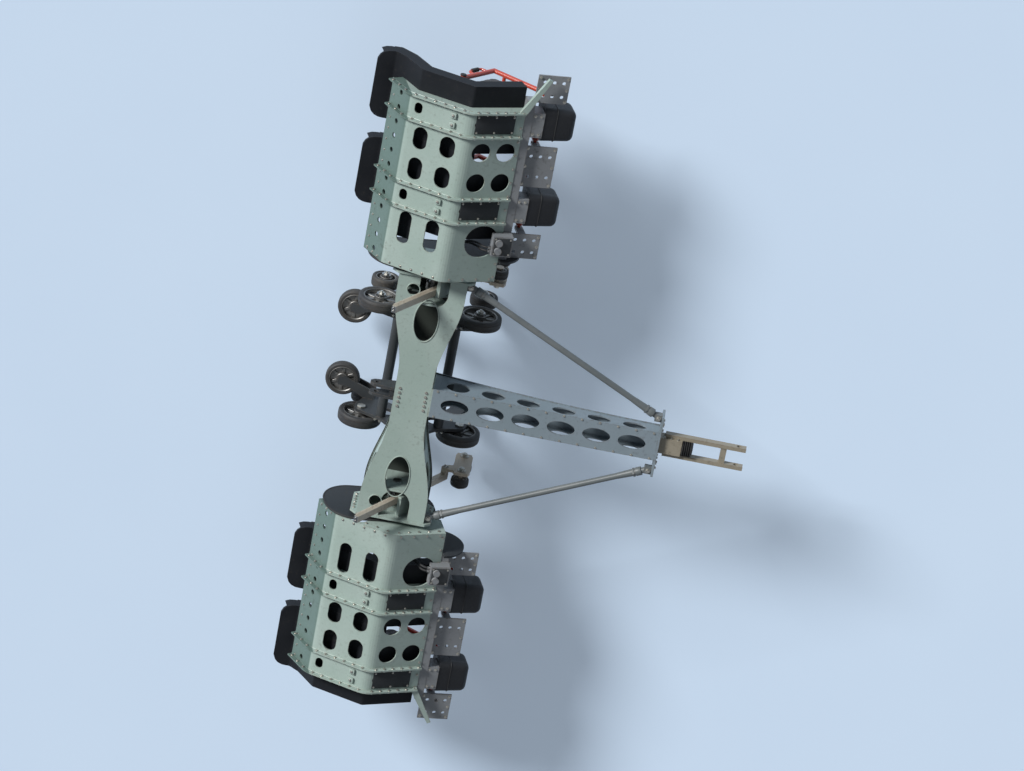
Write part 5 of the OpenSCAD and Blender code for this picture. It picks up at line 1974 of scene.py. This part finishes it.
@dataclass
class RackTrim(PodFitting):
    """What is fixed to a rack: its end plate, and the nuts and bolts of its foot and roller plate."""

    cap_x: Pair = (69.0, 105.5)
    cap_y: Pair = (955.0, 1015.0)
    cap_z: Pair = (1690.0, 1698.0)
    cap_bolts: Pair = (970.0, 1000.0)
    plate_y: float = 895.0
    foot: Pair = (80.0, 383.0)
    foot_bolts: Pair = (14.0, 13.0)
    rollers: Pair = (235.0, 525.0)
    roller_x: float = 520.0
    nut_r: float = 0.026

    @property
    def body(self) -> str:
        """The rack that it slides with."""
        return f"rack_{self.word}"

    def build(self) -> None:
        """Builds the rack's trim."""
        sign = self.sign
        cap = Piece(f"rack_cap_{self.word}", self.body, "axle_steel", AXLE_STEEL)
        low, high = (car(x, sign * y, z) for x, y, z in zip(self.cap_x, self.cap_y, self.cap_z))
        cap.slab(low, high, 0.0025)
        for y in self.cap_bolts:
            cap.bolt(car(sum(self.cap_x) / 2, sign * y, self.cap_z[1]), UP, 0.0085, y)
        for across in (-1, 1):
            for along in (-1, 1):
                x = self.foot[0] + across * self.foot_bolts[0]
                z = self.foot[1] + along * self.foot_bolts[1]
                cap.bolt(car(x, sign * self.plate_y, z), ALONG_Y * -sign, 0.008, 20.0 * along)
        cap.build(self.shop)
        nuts = self.steel(f"rack_nuts_{self.word}")
        unlean = lean(-LEANS["rack"])
        for z in self.rollers:
            at = unlean @ car(self.roller_x, sign * self.plate_y, z)
            nuts.bolt(at, ALONG_Y * -sign, self.nut_r, z)
        nuts.build(self.shop)




# ---------------------------------------------------------------------------
# Studio
# ---------------------------------------------------------------------------


@dataclass
class Studio:
    """Floor, lamps, world and the camera at the photograph's angle."""

    toward: Colour = (0.0, 0.42, 0.907)
    y_in_picture: Pair = (0.19, 0.98)
    middle: Colour = (-0.22, 0.27, 1.125)
    distance: float = 39.5
    lens: float = 165.0
    sun_from: Colour = (-0.68, 0.54, 0.495)
    sun_strength: float = 4.0
    sun_width: float = 16.0
    fill_from: Colour = (0.3, -0.4, 0.85)
    fill_strength: float = 0.15
    fill_width: float = 40.0
    sky: Colour = (0.8, 0.88, 1.0)
    sky_strength: float = 0.22
    floor: Colour = (0.46, 0.56, 0.68)
    floor_glow: Colour = (0.16, 0.19, 0.225)
    floor_size: float = 240.0
    sensor: float = 36.0
    far: float = 600.0

    def camera(self) -> None:
        """Sets the camera: it looks down on the car's top, its left side up in the picture."""
        away = Vector(self.toward).normalized()
        across, up = self.y_in_picture
        y_axis = Vector((0.0, 1.0, 0.0))
        flat = (y_axis - away * y_axis.dot(away)).normalized()
        side = flat.cross(away).normalized()
        turn = math.atan2(across, up)
        right = side * math.cos(turn) + flat * math.sin(turn)
        above = flat * math.cos(turn) - side * math.sin(turn)
        data = bpy.data.cameras.new("Camera")
        data.lens = self.lens
        data.sensor_width = self.sensor
        data.clip_end = self.far
        eye = bpy.data.objects.new("Camera", data)
        eye.matrix_world = Matrix.Translation(Vector(self.middle) + away * self.distance) @ Matrix(
            (right, above, away)).transposed().to_4x4()
        bpy.context.scene.collection.objects.link(eye)
        bpy.context.scene.camera = eye

    def lamp(self, name: str, origin: Colour, strength: float, angle: float) -> None:
        """Adds a sun.

        Args:
            name: Its name.
            origin: Direction that it shines from.
            strength: Its strength.
            angle: Its width in degrees, which softens the shadows.
        """
        data = bpy.data.lights.new(name, "SUN")
        data.energy = strength
        data.angle = math.radians(angle)
        sun = bpy.data.objects.new(name, data)
        sun.rotation_euler = Vector(origin).to_track_quat("Z", "Y").to_euler()
        bpy.context.scene.collection.objects.link(sun)

    def world(self) -> None:
        """A pale sky all round."""
        world = bpy.data.worlds.new("Sky")
        world.use_nodes = True
        back = world.node_tree.nodes["Background"]
        back.inputs["Color"].default_value = (*self.sky, 1.0)
        back.inputs["Strength"].default_value = self.sky_strength
        bpy.context.scene.world = world

    def ground(self) -> None:
        """A plain pale floor under the wheels."""
        bm = bmesh.new()
        bmesh.ops.create_grid(bm, x_segments=2, y_segments=2, size=self.floor_size)
        mesh = bpy.data.meshes.new("floor")
        bm.to_mesh(mesh)
        bm.free()
        plane = bpy.data.objects.new("floor", mesh)
        bpy.context.scene.collection.objects.link(plane)
        material = bpy.data.materials.new("Plain floor")
        material.use_nodes = True
        tree = material.node_tree
        shader = tree.nodes["Principled BSDF"]
        shader.inputs["Roughness"].default_value = 0.8
        shader.inputs["Emission Color"].default_value = (*self.floor_glow, 1.0)
        shader.inputs["Emission Strength"].default_value = 1.0
        cloud = noise(tree, tree.nodes.new("ShaderNodeTexCoord").outputs["Object"], 0.35, 3.0)
        wire(tree, mixed(tree, 0.05, self.floor, cloud, "OVERLAY"), shader.inputs["Base Color"])
        plane.data.materials.append(material)

    def build(self) -> None:
        """Builds the whole studio."""
        self.camera()
        self.lamp("Key", self.sun_from, self.sun_strength, self.sun_width)
        self.lamp("Fill", self.fill_from, self.fill_strength, self.fill_width)
        self.world()
        self.ground()
        bpy.context.scene.view_settings.view_transform = "Standard"
        LOG.info("studio set")


def main() -> None:
    """Builds the scene in order."""
    logging.basicConfig(level=logging.INFO, format="%(name)s: %(message)s")
    Studio().build()
    shop = Shop()
    dress_nodes(shop)
    for kind in (RunningGear, Wing, Tongue):
        kind(shop).build()
    for side in Side:
        for kind in (ShellTrim, GuardTrim, HeadTrim, Headrests, SeatTrim, RackTrim):
            kind(shop, side).build()
        for seat in Seat:
            HarnessTrim(shop, side, seat).build()
    SoftGoods(shop).build()


if __name__ == "__main__":
    main()
